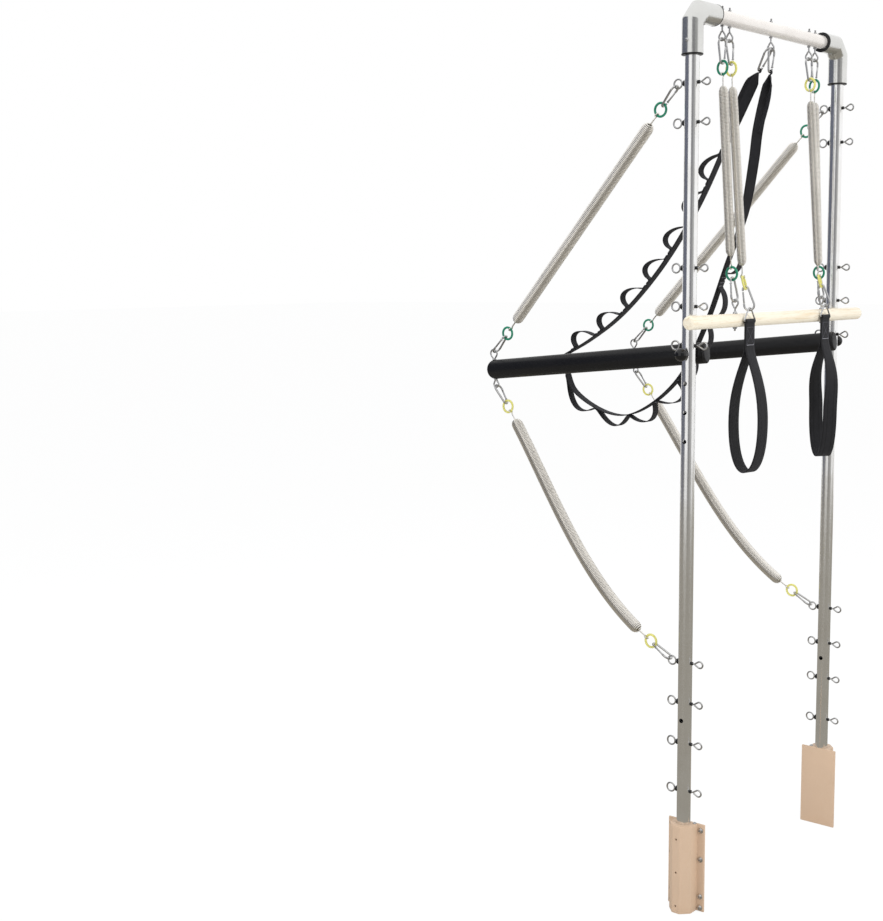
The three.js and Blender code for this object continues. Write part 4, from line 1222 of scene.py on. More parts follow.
@dataclass
class Uprights:
    """Posts, crossbar, elbows, brackets and all that is bolted to them.

    Eye levels are shares of the crossbar's height, a bracket's levels shares of its own, pin levels lengths.

    Attributes:
        mitre: From an elbow's corner to each of its mitres.
        seat: From a mitre to the end of the tube inside.
        drop: An elbow's reach down.
        reach: An elbow's reach along the crossbar.
        screw_drop: From the crossbar's middle down to an elbow's outer set screw.
        screw_reach: From the post's middle along to its lower one.
        bush_rim: How far a bush's rim stands out of its mouth.
        front_eye: The front ring's diameter and its distance from the post's middle.
        rear_eye: The same of the bent eye behind.
        front_cap: The width and height of the cap on the bolt's front nut.
        rear_cap: The same of the rear one.
        bracket_outline: Half of a bracket's outline, from its nose to its flange and across.
    """

    hardware: Hardware
    spacing: float = 700
    tube: float = 32
    wall: float = 2
    height: float = 2040
    elbow: float = 47
    mitre: float = 24
    seat: float = 12
    drop: float = 92
    reach: float = 90
    screw_drop: float = 65
    screw_reach: float = 45
    bush_wall: float = 4.9
    bush_depth: float = 13.5
    bush_rim: float = 3
    clearance: float = 0.3
    eye_levels: tuple[float, ...] = (0.925, 0.8834, 0.729, 0.6875, 0.645, 0.2904, 0.2438, 0.1969, 0.1416)
    pin_levels: tuple[float, ...] = (1297, 1232, 1167, 1102, 458)
    pin_hole: float = 10.6
    hooks: tuple[tuple[str, float], ...] = (
        ("outer_right", 224), ("inner_right", 192), ("middle", 0), ("inner_left", -192), ("outer_left", -224))
    hook_drop: float = 42
    hook_diameter: float = 20
    front_eye: Pair = (24, 34.8)
    rear_eye: Pair = (19, 38)
    front_cap: Pair = (13, 4.5)
    rear_cap: Pair = (8, 4)
    bracket_height: float = 211
    bracket_outline: tuple[Pair, ...] = ((32, 10), (12, 29), (-13, 29), (-13, 48), (-18, 48))
    screw_levels: tuple[float, ...] = (0.043, 0.171, 0.597, 0.929)
    screw_offset: float = 38
    grub_levels: tuple[float, ...] = (0.085, 0.469, 0.848)
    grub_hole: float = 5

    def build(self) -> None:
        """Makes the frame."""
        self.crossbar()
        for side in Side:
            self.post(side)
            self.eye_bolts(side)
            self.elbow_casting(side)
            self.bushes(side)
            self.bracket(side)
        for name, x in self.hooks:
            self.hook(name, x)

    def hollow(self, name: str, start: Vector, end: Vector) -> Piece:
        """A length of tube with its wall."""
        return thicken(rod(name, start, end, self.tube, 96, filled=False), self.wall)

    def on_post(self, side: Side, height: float, back: float = 0) -> Vector:
        """A point at a height, on a post's middle line or that far behind it."""
        return Vector((side.value * self.spacing / 2, back, height))

    def crossbar(self) -> None:
        """Makes the crossbar's tube."""
        half = self.spacing / 2 - self.mitre - self.seat
        piece = self.hollow("crossbar_tube", Vector((-half, 0, self.height)), Vector((half, 0, self.height)))
        fit(dress(smooth(piece), self.hardware.finishes.rail), Body.FRAME, Slot.CHROME, "crossbar")

    def post(self, side: Side) -> None:
        """Makes a post's tube with the pull pin's holes."""
        top = self.height - self.mitre - self.seat
        piece = self.hollow(f"post_tube_{side.word}", self.on_post(side, 0), self.on_post(side, top))
        across = X * (self.tube / 2 + 4)
        spots = [self.on_post(side, z) for z in self.pin_levels]
        tools = [rod("drill", spot - across, spot + across, self.pin_hole, 32) for spot in spots]
        piece = smooth(cut(piece, *tools), 25)
        fit(dress(piece, self.hardware.finishes.chrome), Body.FRAME, Slot.CHROME, f"post_{side.word}")

    def eye_bolts(self, side: Side) -> None:
        """Makes a post's nine bolts: a ring in front, a bent eye behind and a black cap at each."""
        kit = self.hardware
        face = self.tube / 2
        eyes, caps = [], []
        for level in self.eye_levels:
            middle = self.on_post(side, level * self.height)
            diameter, offset = self.front_eye
            eyes.append(kit.closed_ring("ring", middle - Y * offset, Y, Z, diameter))
            start = middle - Y * (offset - (diameter - kit.gauge) / 2)
            eyes.append(rod("shank", start, middle - Y * (face - 1), kit.shank, 16))
            width, height = self.front_cap
            caps.append(rod("cap", middle - Y * (face - 1), middle - Y * (face + height), width, 24))
            diameter, offset = self.rear_eye
            stem = offset - (diameter - kit.gauge) / 2 - kit.neck - face + 1
            eyes.append(kit.bent_eye("eye", middle + Y * offset, -Y, Z, diameter, stem))
            width, height = self.rear_cap
            caps.append(rod("cap", middle + Y * (face - 1), middle + Y * (face + height), width, 24))
        rings = smooth(dress(join(f"post_eyes_{side.word}", eyes), kit.finishes.zinc), 50)
        fit(rings, Body.FRAME, Slot.STEEL)
        rounded = smooth(soften(join(f"post_nuts_{side.word}", caps), 0.7), 40)
        fit(dress(rounded, kit.finishes.dull), Body.FRAME, Slot.PLASTIC)

    def elbow_casting(self, side: Side) -> None:
        """Makes an elbow of three mitred lengths, with its set screws."""
        sign, kit = side.value, self.hardware
        corner = self.on_post(side, self.height)
        path = [corner - Z * self.drop, corner - Z * self.mitre, corner - X * (sign * self.mitre),
                corner - X * (sign * self.reach)]
        circle = arc(0, 0, self.elbow / 2, 0, tau, 72)[:-1]
        piece = loft(f"elbow_casting_{side.word}", sweep_rings(path, lambda i: circle, Y), capped=False)
        soften(piece, 3, 3, 14)
        thicken(piece, self.elbow / 2 - self.tube / 2 - self.bush_wall - 2 * self.clearance)
        soften(piece, 0.5, 2, 60)
        dress(smooth(piece, 22), kit.finishes.alloy)
        fit(piece, Body.FRAME, Slot.ALLOY, f"elbow_{side.word}")
        face = self.elbow / 2 - 0.3
        outer = corner + Vector((sign * face, 0, -self.screw_drop))
        under = corner + Vector((-sign * self.screw_reach, 0, -face))
        screws = [kit.dome_screw("screw", outer, X * sign, 4.2, 2),
                  kit.dome_screw("screw", under, -Z, 4.2, 3.4)]
        fit(join(f"elbow_screws_{side.word}", screws), Body.FRAME, Slot.STEEL)

    def bushes(self, side: Side) -> None:
        """Makes the two black bushes in an elbow's mouths."""
        inward = X * side.value
        corner = self.on_post(side, self.height)
        inner = self.tube / 2 + self.clearance
        outer, rim = inner + self.bush_wall, self.elbow / 2 + 0.4
        depth, deep = self.bush_depth, self.bush_rim
        profile = [(inner, depth), (inner, 0.6 - deep), (inner + 0.6, -deep), (rim - 1, -deep),
                   (rim, 1 - deep), (rim, -0.1), (outer - 0.1, -0.1), (outer - 0.1, depth)]
        angles = [tau * i / 64 for i in range(64)]
        rings = [[Vector((r * cos(a), r * sin(a), z)) for r, z in profile] for a in angles]
        mouths = (("post", corner - Z * self.drop, Z), ("crossbar", corner - inward * self.reach, inward))
        for word, mouth, way in mouths:
            piece = loft(f"{word}_mouth_bush_{side.word}", rings, closed=True)
            dress(smooth(moved(piece, standing(way, mouth))), self.hardware.finishes.dull)
            fit(piece, Body.FRAME, Slot.PLASTIC, f"{word}_bush_{side.word}")

    def bracket(self, side: Side) -> None:
        """Makes a bracket with its screws."""
        kit = self.hardware
        half = list(self.bracket_outline)
        outline = half + [(x, -y) for x, y in reversed(half)]
        rings = [[Vector((x, y, z)) for x, y in outline] for z in (0, self.bracket_height)]
        piece = soften(loft(f"bracket_casting_{side.word}", rings), 1.6, 3)
        bore = rod("bore", Vector((0, 0, -4)), Vector((0, 0, self.bracket_height + 4)), self.tube + 0.6, 64)
        nose = half[0][0]
        drills = [rod("drill", Vector((0, 0, z)), Vector((nose + 4, 0, z)), self.grub_hole, 24)
                  for z in (level * self.bracket_height for level in self.grub_levels)]
        cut(piece, bore, *drills)
        place = Matrix.Translation(self.on_post(side, 0))
        place @= Matrix.Rotation(0 if side is Side.RIGHT else pi, 4, "Z")
        moved(piece, place)
        fit(dress(smooth(piece, 28), kit.finishes.sand), Body.FRAME, Slot.SAND, f"bracket_{side.word}")
        screws = []
        for level in self.screw_levels:
            for y in (-self.screw_offset, self.screw_offset):
                seat = Vector((half[3][0], y, level * self.bracket_height))
                screws.append(kit.dome_screw("screw", seat, X, 6.6, 3.6))
        screws.append(kit.dome_screw("screw", Vector((-10, 24, self.bracket_height)), Z, 4.5, 3.2))
        fit(moved(join(f"bracket_screws_{side.word}", screws), place), Body.FRAME, Slot.STEEL)
        spots = [Vector((nose - 9, 0, level * self.bracket_height)) for level in self.grub_levels]
        grubs = [kit.grub_screw("grub", spot, X, self.grub_hole - 0.2) for spot in spots]
        fit(moved(join(f"bracket_grub_screws_{side.word}", grubs), place), Body.FRAME, Slot.PLASTIC)

    def hook(self, name: str, x: float) -> None:
        """Makes a hook bolt: an eye below the crossbar, nuts under and over it.

        Args:
            name: The hook's name.
            x: Where it is.
        """
        kit = self.hardware
        middle = Vector((x, 0, self.height))
        face = self.tube / 2 + self.clearance
        eye = middle - Z * self.hook_drop
        stem = self.hook_drop - (self.hook_diameter - kit.gauge) / 2 - kit.neck - face + 2
        pieces = [
            kit.bent_eye("eye", eye, Z, Y, self.hook_diameter, stem),
            kit.nut("nut", middle - Z * face, -Z), kit.nut("nut", middle + Z * face, Z, 8.4, 3),
            kit.thread("end", middle + Z * (face + 2.6), Z, kit.shank, 6),
        ]
        piece = dress(join(f"crossbar_hook_{name}", pieces), kit.finishes.zinc)
        fit(piece, Body.FRAME, Slot.STEEL, f"hook_{name}")

    def front_post_eye(self, side: Side, index: int) -> Eye:
        """A post's front ring."""
        diameter, offset = self.front_eye
        return self.hardware.eye(self.on_post(side, self.eye_levels[index] * self.height, -offset), diameter)

    def hook_eye(self, x: float) -> Eye:
        """A crossbar hook's eye."""
        return self.hardware.eye(Vector((x, 0, self.height - self.hook_drop)), self.hook_diameter)


@dataclass
class PushThroughBar:
    """The black U-shaped bar with its plugs, pull pins and four sprung lines.

    Attributes:
        arm: An arm's distance from the middle.
        tail: An arm's length past its pivot.
        eyes: The upper and the lower corner eye's diameter.
        spring: The springs' diameter and wire.
        upper_bolt: The post's bolt that the upper springs hang from, counted from the top and from 0.
        lower_bolt: The one that the lower springs pull on.
        sag: How far the lower springs' links turn down, lower and upper end, as shares of the span.
        limp: How far those springs bend with them, as a share of their length.
    """

    uprights: Uprights
    pivot: float = 1297
    length: float = 583
    slope: float = 5.46
    deep: float = 48
    thick: float = 30
    arm: float = 316.5
    tail: float = 27
    cap: float = 7
    rounding: float = 4
    eyes: Pair = (24, 19)
    knob: float = 29
    knob_offset: float = 33
    collar: float = 16
    pin: float = 10
    spring: Pair = (29, 3.6)
    facings: Turns = (90, 0, 0, 90)
    upper_bolt: int = 0
    lower_bolt: int = 5
    sag: Pair = (0.111, 0.031)
    limp: float = 1 / 3

    @property
    def place(self) -> Matrix:
        """The placing of the bar's own axes."""
        return Matrix.Translation((0, 0, self.pivot)) @ Matrix.Rotation(radians(self.slope), 4, "X")

    def oval(self, inset: float = 0, sides: int = 56) -> Outline:
        """The bar's oval section."""
        return [((self.thick / 2 - inset) * cos(a), (self.deep / 2 - inset) * sin(a))
                for a in (tau * (i + 0.5) / sides for i in range(sides))]

    def build(self, patterns: Patterns) -> None:
        """Makes the bar and all that hangs on it."""
        self.bar()
        for side in Side:
            self.plug(side)
            self.corner_bolt(side)
            self.pull_pin(side)
            self.lines(side, patterns)

    def bar(self) -> None:
        """Makes the bent tube."""
        finishes = self.uprights.hardware.finishes
        end = self.tail - self.cap
        far = -self.length
        path = [Vector((self.arm, end, 0)), Vector((self.arm, far, 0)), Vector((-self.arm, far, 0)),
                Vector((-self.arm, end, 0))]
        section = self.oval()
        piece = soften(loft("push_through_tube", sweep_rings(path, lambda i: section, X)), 1.6, 3, 40)
        piece = dress(smooth(moved(piece, self.place), 25), finishes.paint)
        fit(piece, Body.PUSH_THROUGH, Slot.PAINT, "push_through_bar")

    def plug(self, side: Side) -> None:
        """Makes an arm's end plug with its rounded rim."""
        finishes = self.uprights.hardware.finishes
        rings = []
        edge = [(0.0, 0.4), (0.5, 0.0), (self.cap - self.rounding, 0.0)]
        for a in (0.4, 0.8, 1.2, pi / 2):
            edge.append((self.cap - self.rounding * (1 - sin(a)), self.rounding * (1 - cos(a))))
        for y, inset in edge:
            rings.append([Vector((u, y, v)) for u, v in self.oval(inset)])
        piece = loft(f"plug_cap_{side.word}", rings)
        moved(piece, self.place @ Matrix.Translation((side.value * self.arm, self.tail - self.cap, 0)))
        fit(dress(smooth(piece, 50), finishes.dull), Body.PUSH_THROUGH, Slot.PLASTIC, f"end_plug_{side.word}")

    def corner_offset(self, diameter: float) -> float:
        """From the bar's middle to the middle of a corner eye."""
        kit = self.uprights.hardware
        return self.deep / 2 + (diameter - kit.gauge) / 2 + kit.neck

    def corner_bolt(self, side: Side) -> None:
        """Makes the bolt with an eye over and under a corner of the bar."""
        kit = self.uprights.hardware
        face = self.deep / 2
        pieces = []
        for way, diameter in zip((Z, -Z), self.eyes):
            pieces.append(kit.bent_eye("eye", way * self.corner_offset(diameter), -way, Y, diameter, 2))
            pieces.append(kit.washer("washer", way * face, way, 11, 1.4))
        piece = dress(join(f"corner_eyes_{side.word}", pieces), kit.finishes.zinc)
        moved(piece, self.place @ Matrix.Translation((side.value * self.arm, -self.length, 0)))
        fit(piece, Body.PUSH_THROUGH, Slot.STEEL, f"corner_eye_bolt_{side.word}")

    def corner_eye(self, side: Side, way: int) -> Eye:
        """The eye over or under a corner of the bar."""
        diameter = self.eyes[0 if way > 0 else 1]
        centre = Vector((side.value * self.arm, -self.length, way * self.corner_offset(diameter)))
        return self.uprights.hardware.eye(self.place @ centre, diameter)

    def pull_pin(self, side: Side) -> None:
        """Makes a ball knob on its pin, and the guide on the post."""
        kit = self.uprights.hardware
        post = self.uprights.on_post(side, self.pivot)
        outward = X * side.value
        ball = self.knob / 2
        centre = post + outward * self.knob_offset
        angles = [-pi / 2 + pi * i / 20 for i in range(1, 20)]
        profile = [(ball * cos(a), ball * sin(a)) for a in angles if sin(a) > -0.86]
        knob = kit.turned("ball", profile, standing(outward, centre), 40)
        dress(knob, kit.finishes.glossy)
        tip = post - outward * (self.uprights.spacing / 2 - self.arm)
        stem = soften(rod("pin", centre - outward * (ball - 2), tip, self.pin, 32), 0.8, 2, 40)
        dress(smooth(stem), kit.finishes.zinc)
        name = side.word
        body = Body.PIN_RIGHT if side is Side.RIGHT else Body.PIN_LEFT
        fit(join(f"ball_pin_{name}", [knob, stem]), body, Slot.PLASTIC, f"pull_pin_{name}")
        face = self.knob_offset - ball - 0.4
        radius = self.collar / 2
        profile = [(radius, 0), (radius, face - 0.9), (radius - 0.3, face - 0.3), (radius - 0.9, face)]
        guide = kit.turned(f"pin_guide_{name}", profile, standing(outward, post), 48)
        tube = self.uprights.tube / 2 + 0.15
        cut(guide, rod("post", post - Z * 40, post + Z * 40, 2 * tube, 64),
            rod("bore", post, post + outward * 60, self.pin + 0.6, 32))
        fit(dress(smooth(guide, 30), kit.finishes.dull), Body.FRAME, Slot.PLASTIC, f"pin_collar_{name}")

    def lines(self, side: Side, patterns: Patterns) -> None:
        """Makes the springs over and under an arm's corner.

        Args:
            side: The arm's side.
            patterns: A snap link and a ring to copy.
        """
        kit = self.uprights.hardware
        post = self.uprights.front_post_eye
        Line(f"arm_upper_{side.word}", post(side, self.upper_bolt), self.corner_eye(side, 1), self.facings,
             *self.spring, (Body.FRAME, Body.PUSH_THROUGH), kit.finishes.green).build(kit, patterns)
        Line(f"arm_lower_{side.word}", self.corner_eye(side, -1), post(side, self.lower_bolt), self.facings,
             *self.spring, (Body.PUSH_THROUGH, Body.FRAME), kit.finishes.yellow, self.sag,
             self.limp).build(kit, patterns)


@dataclass
class RollDownBar:
    """The hung wooden bar with its eyes and its two springs.

    Attributes:
        eye_offset: The eye's middle over the bar's.
        collar: The cone under an eye: its height, foot and top.
        sag: How far the links turn toward the push-through bar, lower and upper end, as shares of the span.
    """

    uprights: Uprights
    length: float = 840
    diameter: float = 31
    height: float = 1368
    shift: float = -11
    spread: float = 430
    rounding: float = 8
    eye: float = 19
    eye_offset: float = 40
    collar: Triple = (6, 11, 5.4)
    spring: Pair = (22, 3)
    facings: Turns = (77, -14, -8, 82)
    hook: float = 224
    sag: Pair = (0.026, 0.015)

    @property
    def offset(self) -> float:
        """The bar's distance behind the posts' middles."""
        return self.uprights.tube / 2 + self.diameter / 2 + self.uprights.clearance

    def build(self, patterns: Patterns) -> None:
        """Makes the bar, its eyes and its springs."""
        kit = self.uprights.hardware
        half, radius = self.length / 2, self.diameter / 2
        rounding = self.rounding
        curve = arc(radius - rounding, half - rounding, rounding, 0, pi / 2, 8)
        upper = [*curve, (2, half), (0, half)]
        stations = [(r, -z) for r, z in reversed(upper)]
        stations += [(radius, -half / 2), (radius, 0), (radius, half / 2)]
        middle = Vector((self.shift, self.offset, self.height))
        bar = kit.turned("roll_down_dowel", [*stations, *upper], standing(X, middle), 64)
        fit(dress(bar, kit.finishes.beech), Body.ROLL_DOWN, Slot.BEECH, "roll_down_bar")
        for side in Side:
            self.bolt(side, middle)
            hook = self.uprights.hook_eye(side.value * self.hook)
            eye = kit.eye(middle + Vector((side.value * self.spread / 2, 0, self.eye_offset)), self.eye)
            bodies = (Body.ROLL_DOWN, Body.ROLL_DOWN)
            Line(f"roll_down_{side.word}", hook, eye, self.facings, *self.spring, bodies, kit.finishes.green,
                 self.sag).build(kit, patterns)

    def bolt(self, side: Side, middle: Vector) -> None:
        """Makes the eye bolt through the bar, with a cone over it and a nut under it.

        Args:
            side: The bolt's side.
            middle: The bar's middle.
        """
        kit = self.uprights.hardware
        centre = middle + X * (side.value * self.spread / 2)
        face = self.diameter / 2
        height, foot, top = self.collar
        stem = self.eye_offset - (self.eye - kit.gauge) / 2 - kit.neck - face + 1
        cone = [(foot / 2, 0), (foot / 2, 0.8), (top / 2 + 0.6, height - 1), (top / 2, height)]
        pieces = [
            kit.bent_eye("eye", centre + Z * self.eye_offset, -Z, Y, self.eye, stem),
            kit.turned("cone", cone, standing(Z, centre + Z * (face - 0.3))),
            kit.washer("washer", centre - Z * (face - 0.4), -Z, 12, 1.2),
            kit.nut("nut", centre - Z * (face + 0.8), -Z, 9, 3.2),
            kit.thread("end", centre - Z * (face + 3.6), -Z, kit.shank, 5),
        ]
        piece = dress(join(f"dowel_eye_{side.word}", pieces), kit.finishes.zinc)
        fit(piece, Body.ROLL_DOWN, Slot.STEEL, f"roll_down_eye_{side.word}")


def band(name: str, route: Sequence[Vector], width: Measure, thickness: float, across: Vector,
         closed: bool = False, twist: Measure = lambda s: 0) -> Piece:
    """A strap of webbing along a route, mapped in metres along and across it.

    Args:
        name: The piece's name.
        route: The middle of the strap, in order.
        width: Its width at each distance along it.
        thickness: Its thickness.
        across: Where its width points at the start.
        closed: Whether its ends join.
        twist: Its turn at each distance along it, in radians.

    Returns:
        The strap.
    """
    marks = Route(list(route)).marks
    total = marks[-1] + ((route[0] - route[-1]).length if closed else 0)
    shares = (-1, -0.985, -0.94, -0.55, 0, 0.55, 0.94, 0.985, 1)
    edge = (0.12, 0.72, 1, 1, 1, 1, 1, 0.72, 0.12)

    def section(i: int) -> Outline:
        """The strap's outline at a point of its route."""
        half = width(marks[i]) / 2
        front = [(half * s, thickness / 2 * e) for s, e in zip(shares, edge)]
        return front + [(x, -y) for x, y in reversed(front)]

    rings = sweep_rings(route, section, across, closed, lambda i: twist(marks[i]))
    count, around = len(rings), len(rings[0])
    mesh = bpy.data.meshes.new(name)
    spans = count if closed else count - 1
    faces, maps = [], []
    columns = [*shares, *reversed(shares)]
    for i in range(spans):
        k = (i + 1) % count
        near, far = marks[i], marks[i + 1] if i + 1 < count else total
        halves = (width(near) / 2, width(marks[k]) / 2)
        for j in range(around):
            m = (j + 1) % around
            faces.append((i * around + j, k * around + j, k * around + m, i * around + m))
            maps.append(((near, columns[j] * halves[0]), (far, columns[j] * halves[1]),
                         (far, columns[m] * halves[1]), (near, columns[m] * halves[0])))
    if not closed:
        for ring, mark, order in ((0, 0.0, range(around)), (count - 1, total, reversed(range(around)))):
            order = list(order)
            faces.append(tuple(ring * around + j for j in order))
            maps.append(tuple((mark, columns[j] * width(mark) / 2) for j in order))
    mesh.from_pydata([point * MM for ring in rings for point in ring], [], faces)
    layer = mesh.uv_layers.new(name="webbing")
    for face, corners in zip(mesh.polygons, maps):
        for loop, (u, v) in zip(face.loop_indices, corners):
            layer.data[loop].uv = (u * MM, v * MM)
    piece = bpy.data.objects.new(name, mesh)
    bpy.context.scene.collection.objects.link(piece)
    return smooth(turn_out(piece), 75)


def stitches(name: str, runs: Sequence[Sequence[Vector]], gauge: float, length: float,
             gap: float) -> Piece:
    """Rows of short stitches laid along polylines.

    Args:
        name: The piece's name.
        runs: The polylines.
        gauge: The thread's diameter.
        length: A stitch's length.
        gap: From stitch to stitch.

    Returns:
        The stitches.
    """
    pieces = []
    for run in runs:
        route = Route(list(run))
        count = max(1, int(route.length // (length + gap)))
        spare = (route.length - count * (length + gap) + gap) / 2
        for i in range(count):
            start = spare + i * (length + gap)
            pieces.append(rod("stitch", route.at(start), route.at(start + length), gauge, 6))
    return smooth(join(name, pieces), 50)


@dataclass
class FootLoop:
    """A foot loop of webbing, its triangle and the spring that it hangs on.

    Attributes:
        turn: How far its open part is turned, in degrees.
        stem_turn: How far its stem is turned, in degrees.
        level: The middle of the triangle's foot.
        slack: The play round the triangle's foot.
        stem: The sewn part's length.
        belly: The depth of its widest part.
        sag: How far the links turn toward the push-through bar, lower and upper end, as shares of the span.
    """

    uprights: Uprights
    side: Side
    x: float
    turn: float
    body: Body
    offset: float = 55
    stem_turn: float = -5
    level: float = 1366
    webbing: float = 36
    thickness: float = 2.6
    slack: float = 0.6
    length: float = 352
    width: float = 87
    stem: float = 57
    belly: float = 232
    triangle_width: float = 46
    triangle_height: float = 34
    triangle_gauge: float = 4
    top_round: float = 8
    corner_round: float = 4.5
    spring: Pair = (22, 3)
    facings: Turns = (77, -14, 108, 14)
    hook: float = 192
    steps: int = 22
    seam_inset: float = 3.5
    seam_top: float = 14
    seam_foot: float = 2.5
    sag: Pair = (0.056, 0.005)

    @property
    def place(self) -> Matrix:
        """The placing of the loop's own axes: X across its opening, Y along the webbing's width."""
        return (Matrix.Translation((self.x, self.offset, self.level))
                @ Matrix.Rotation(radians(self.stem_turn + 90), 4, "Z"))

    def half(self, sign: int, inset: float) -> list[Vector]:
        """One side of the loop seen from its edge, from the stem down to the middle of the bottom.

        Args:
            sign: The side that it bows to.
            inset: From the outer face to the curve.

        Returns:
            Its points.
        """
        x = sign * (self.width / 2 - inset)
        start, crotch = sign * self.thickness / 2, self.stem
        bottom = self.length - self.thickness - inset
        upper = ((start, -crotch), (0.4 * start, -(crotch + self.stem / 2)),
                 (x, -self.belly / 2 - self.stem / 2), (x, -self.belly))
        lower = ((x, -self.belly), (x, -(self.belly + bottom) / 2 - self.width / 4), (x / 2, -bottom),
                 (0, -bottom))
        points = []
        for curve in (upper, lower):
            a, b, c, d = (Vector((u, 0, v)) for u, v in curve)
            points += [bezier(a, b, c, d, i / self.steps) for i in range(self.steps)]
        return points

    def build(self, patterns: Patterns) -> None:
        """Makes the loop, its triangle and its spring."""
        self.strap()
        top = self.top_round - self.triangle_gauge / 2
        drop = self.triangle_height - self.triangle_gauge - top
        self.triangle(top, drop)
        centre = Vector((self.x, self.offset, self.level + drop))
        kit = self.uprights.hardware
        hook = self.uprights.hook_eye(self.side.value * self.hook)
        eye = Eye(centre, top - 0.3, self.triangle_gauge, Z)
        Line(f"foot_{self.side.word}", hook, eye, self.facings, *self.spring, (self.body, self.body),
             kit.finishes.yellow, self.sag).build(kit, patterns)

    def twisted(self, piece: Piece) -> Piece:
        """Turns what hangs under the stem about the vertical."""
        full = radians(self.turn - self.stem_turn)
        for vertex in piece.data.vertices:
            share = min(1.0, max(0.0, (-vertex.co.z / MM - self.stem) / (self.belly - self.stem)))
            angle = full * share * share * (3 - 2 * share)
            vertex.co = Matrix.Rotation(angle, 3, "Z") @ vertex.co
        return piece

    def strap(self) -> None:
        """Makes the webbing: round the triangle's foot, flat down the stem and open below."""
        finishes = self.uprights.hardware.finishes
        middle = self.thickness / 2
        grip = self.triangle_gauge / 2 + self.slack + middle
        shoulder = asin(middle / grip)
        over = in_plane(arc(0, 0, grip, 1.5 * pi - shoulder, shoulder - pi / 2, 20), Vector(), X, Z)
        left, right = self.half(-1, middle), self.half(1, middle)
        down = [Vector((middle, 0, -z)) for z in range(int(grip) + 4, int(self.stem), 6)]
        up = [Vector((-middle, 0, p.z)) for p in reversed(down)]
        bottom = Vector((0, 0, middle - (self.length - self.thickness)))
        route = [*over, *down, *right, bottom, *reversed(left), *up]
        name = f"foot_webbing_{self.side.word}"
        piece = self.twisted(band(name, route, lambda s: self.webbing, self.thickness, Y, closed=True))
        piece = dress(moved(piece, self.place), finishes.band)
        fit(piece, self.body, Slot.WEBBING, f"foot_loop_{self.side.word}")
        self.seams()

    def seams(self) -> None:
        """Sews the stem: a crossed box on each face, with a row of pale thread at its foot."""
        finishes = self.uprights.hardware.finishes
        half = self.webbing / 2 - self.seam_inset
        top, foot = -self.seam_top, self.seam_foot - self.stem
        boxes, rows = [], []
        for sign in (1, -1):
            x = sign * (self.thickness + 0.05)
            corners = [Vector((x, y, z)) for y, z in ((-half, top), (half, top), (half, foot), (-half, foot))]
            boxes += [[corners[a], corners[b]] for a, b in ((0, 1), (1, 2), (0, 3), (0, 2), (1, 3))]
            rows.append([corners[3], corners[2]])
        name = self.side.word
        box = dress(stitches(f"foot_stitching_{name}", boxes, 0.7, 2.4, 0.9), finishes.thread)
        row = dress(stitches(f"foot_seam_{name}", rows, 1.0, 2.6, 0.8), finishes.pale_thread)
        for piece in (box, row):
            fit(moved(piece, self.place), self.body, Slot.WEBBING)

    def triangle(self, top: float, drop: float) -> None:
        """Makes the wire triangle, its straight foot through the webbing.

        Args:
            top: The radius of its top's middle line.
            drop: From there down to its foot's.
        """
        kit = self.uprights.hardware
        corner = self.corner_round - self.triangle_gauge / 2
        side = (self.triangle_width - self.triangle_gauge) / 2 - corner
        foot = corner - drop
        lean = atan2(side, -foot) - asin((top - corner) / hypot(side, foot))
        outline = (arc(0, 0, top, lean, pi - lean, 16)
                   + arc(-side, foot, corner, pi - lean, 1.5 * pi, 8)
                   + arc(side, foot, corner, 1.5 * pi, tau + lean, 8))
        piece = wire(f"triangle_wire_{self.side.word}", in_plane(outline, Vector((0, 0, drop)), Y, Z),
                     self.triangle_gauge, 12, closed=True)
        piece = dress(moved(piece, self.place), kit.finishes.zinc)
        fit(piece, self.body, Slot.STEEL, f"loop_triangle_{self.side.word}")


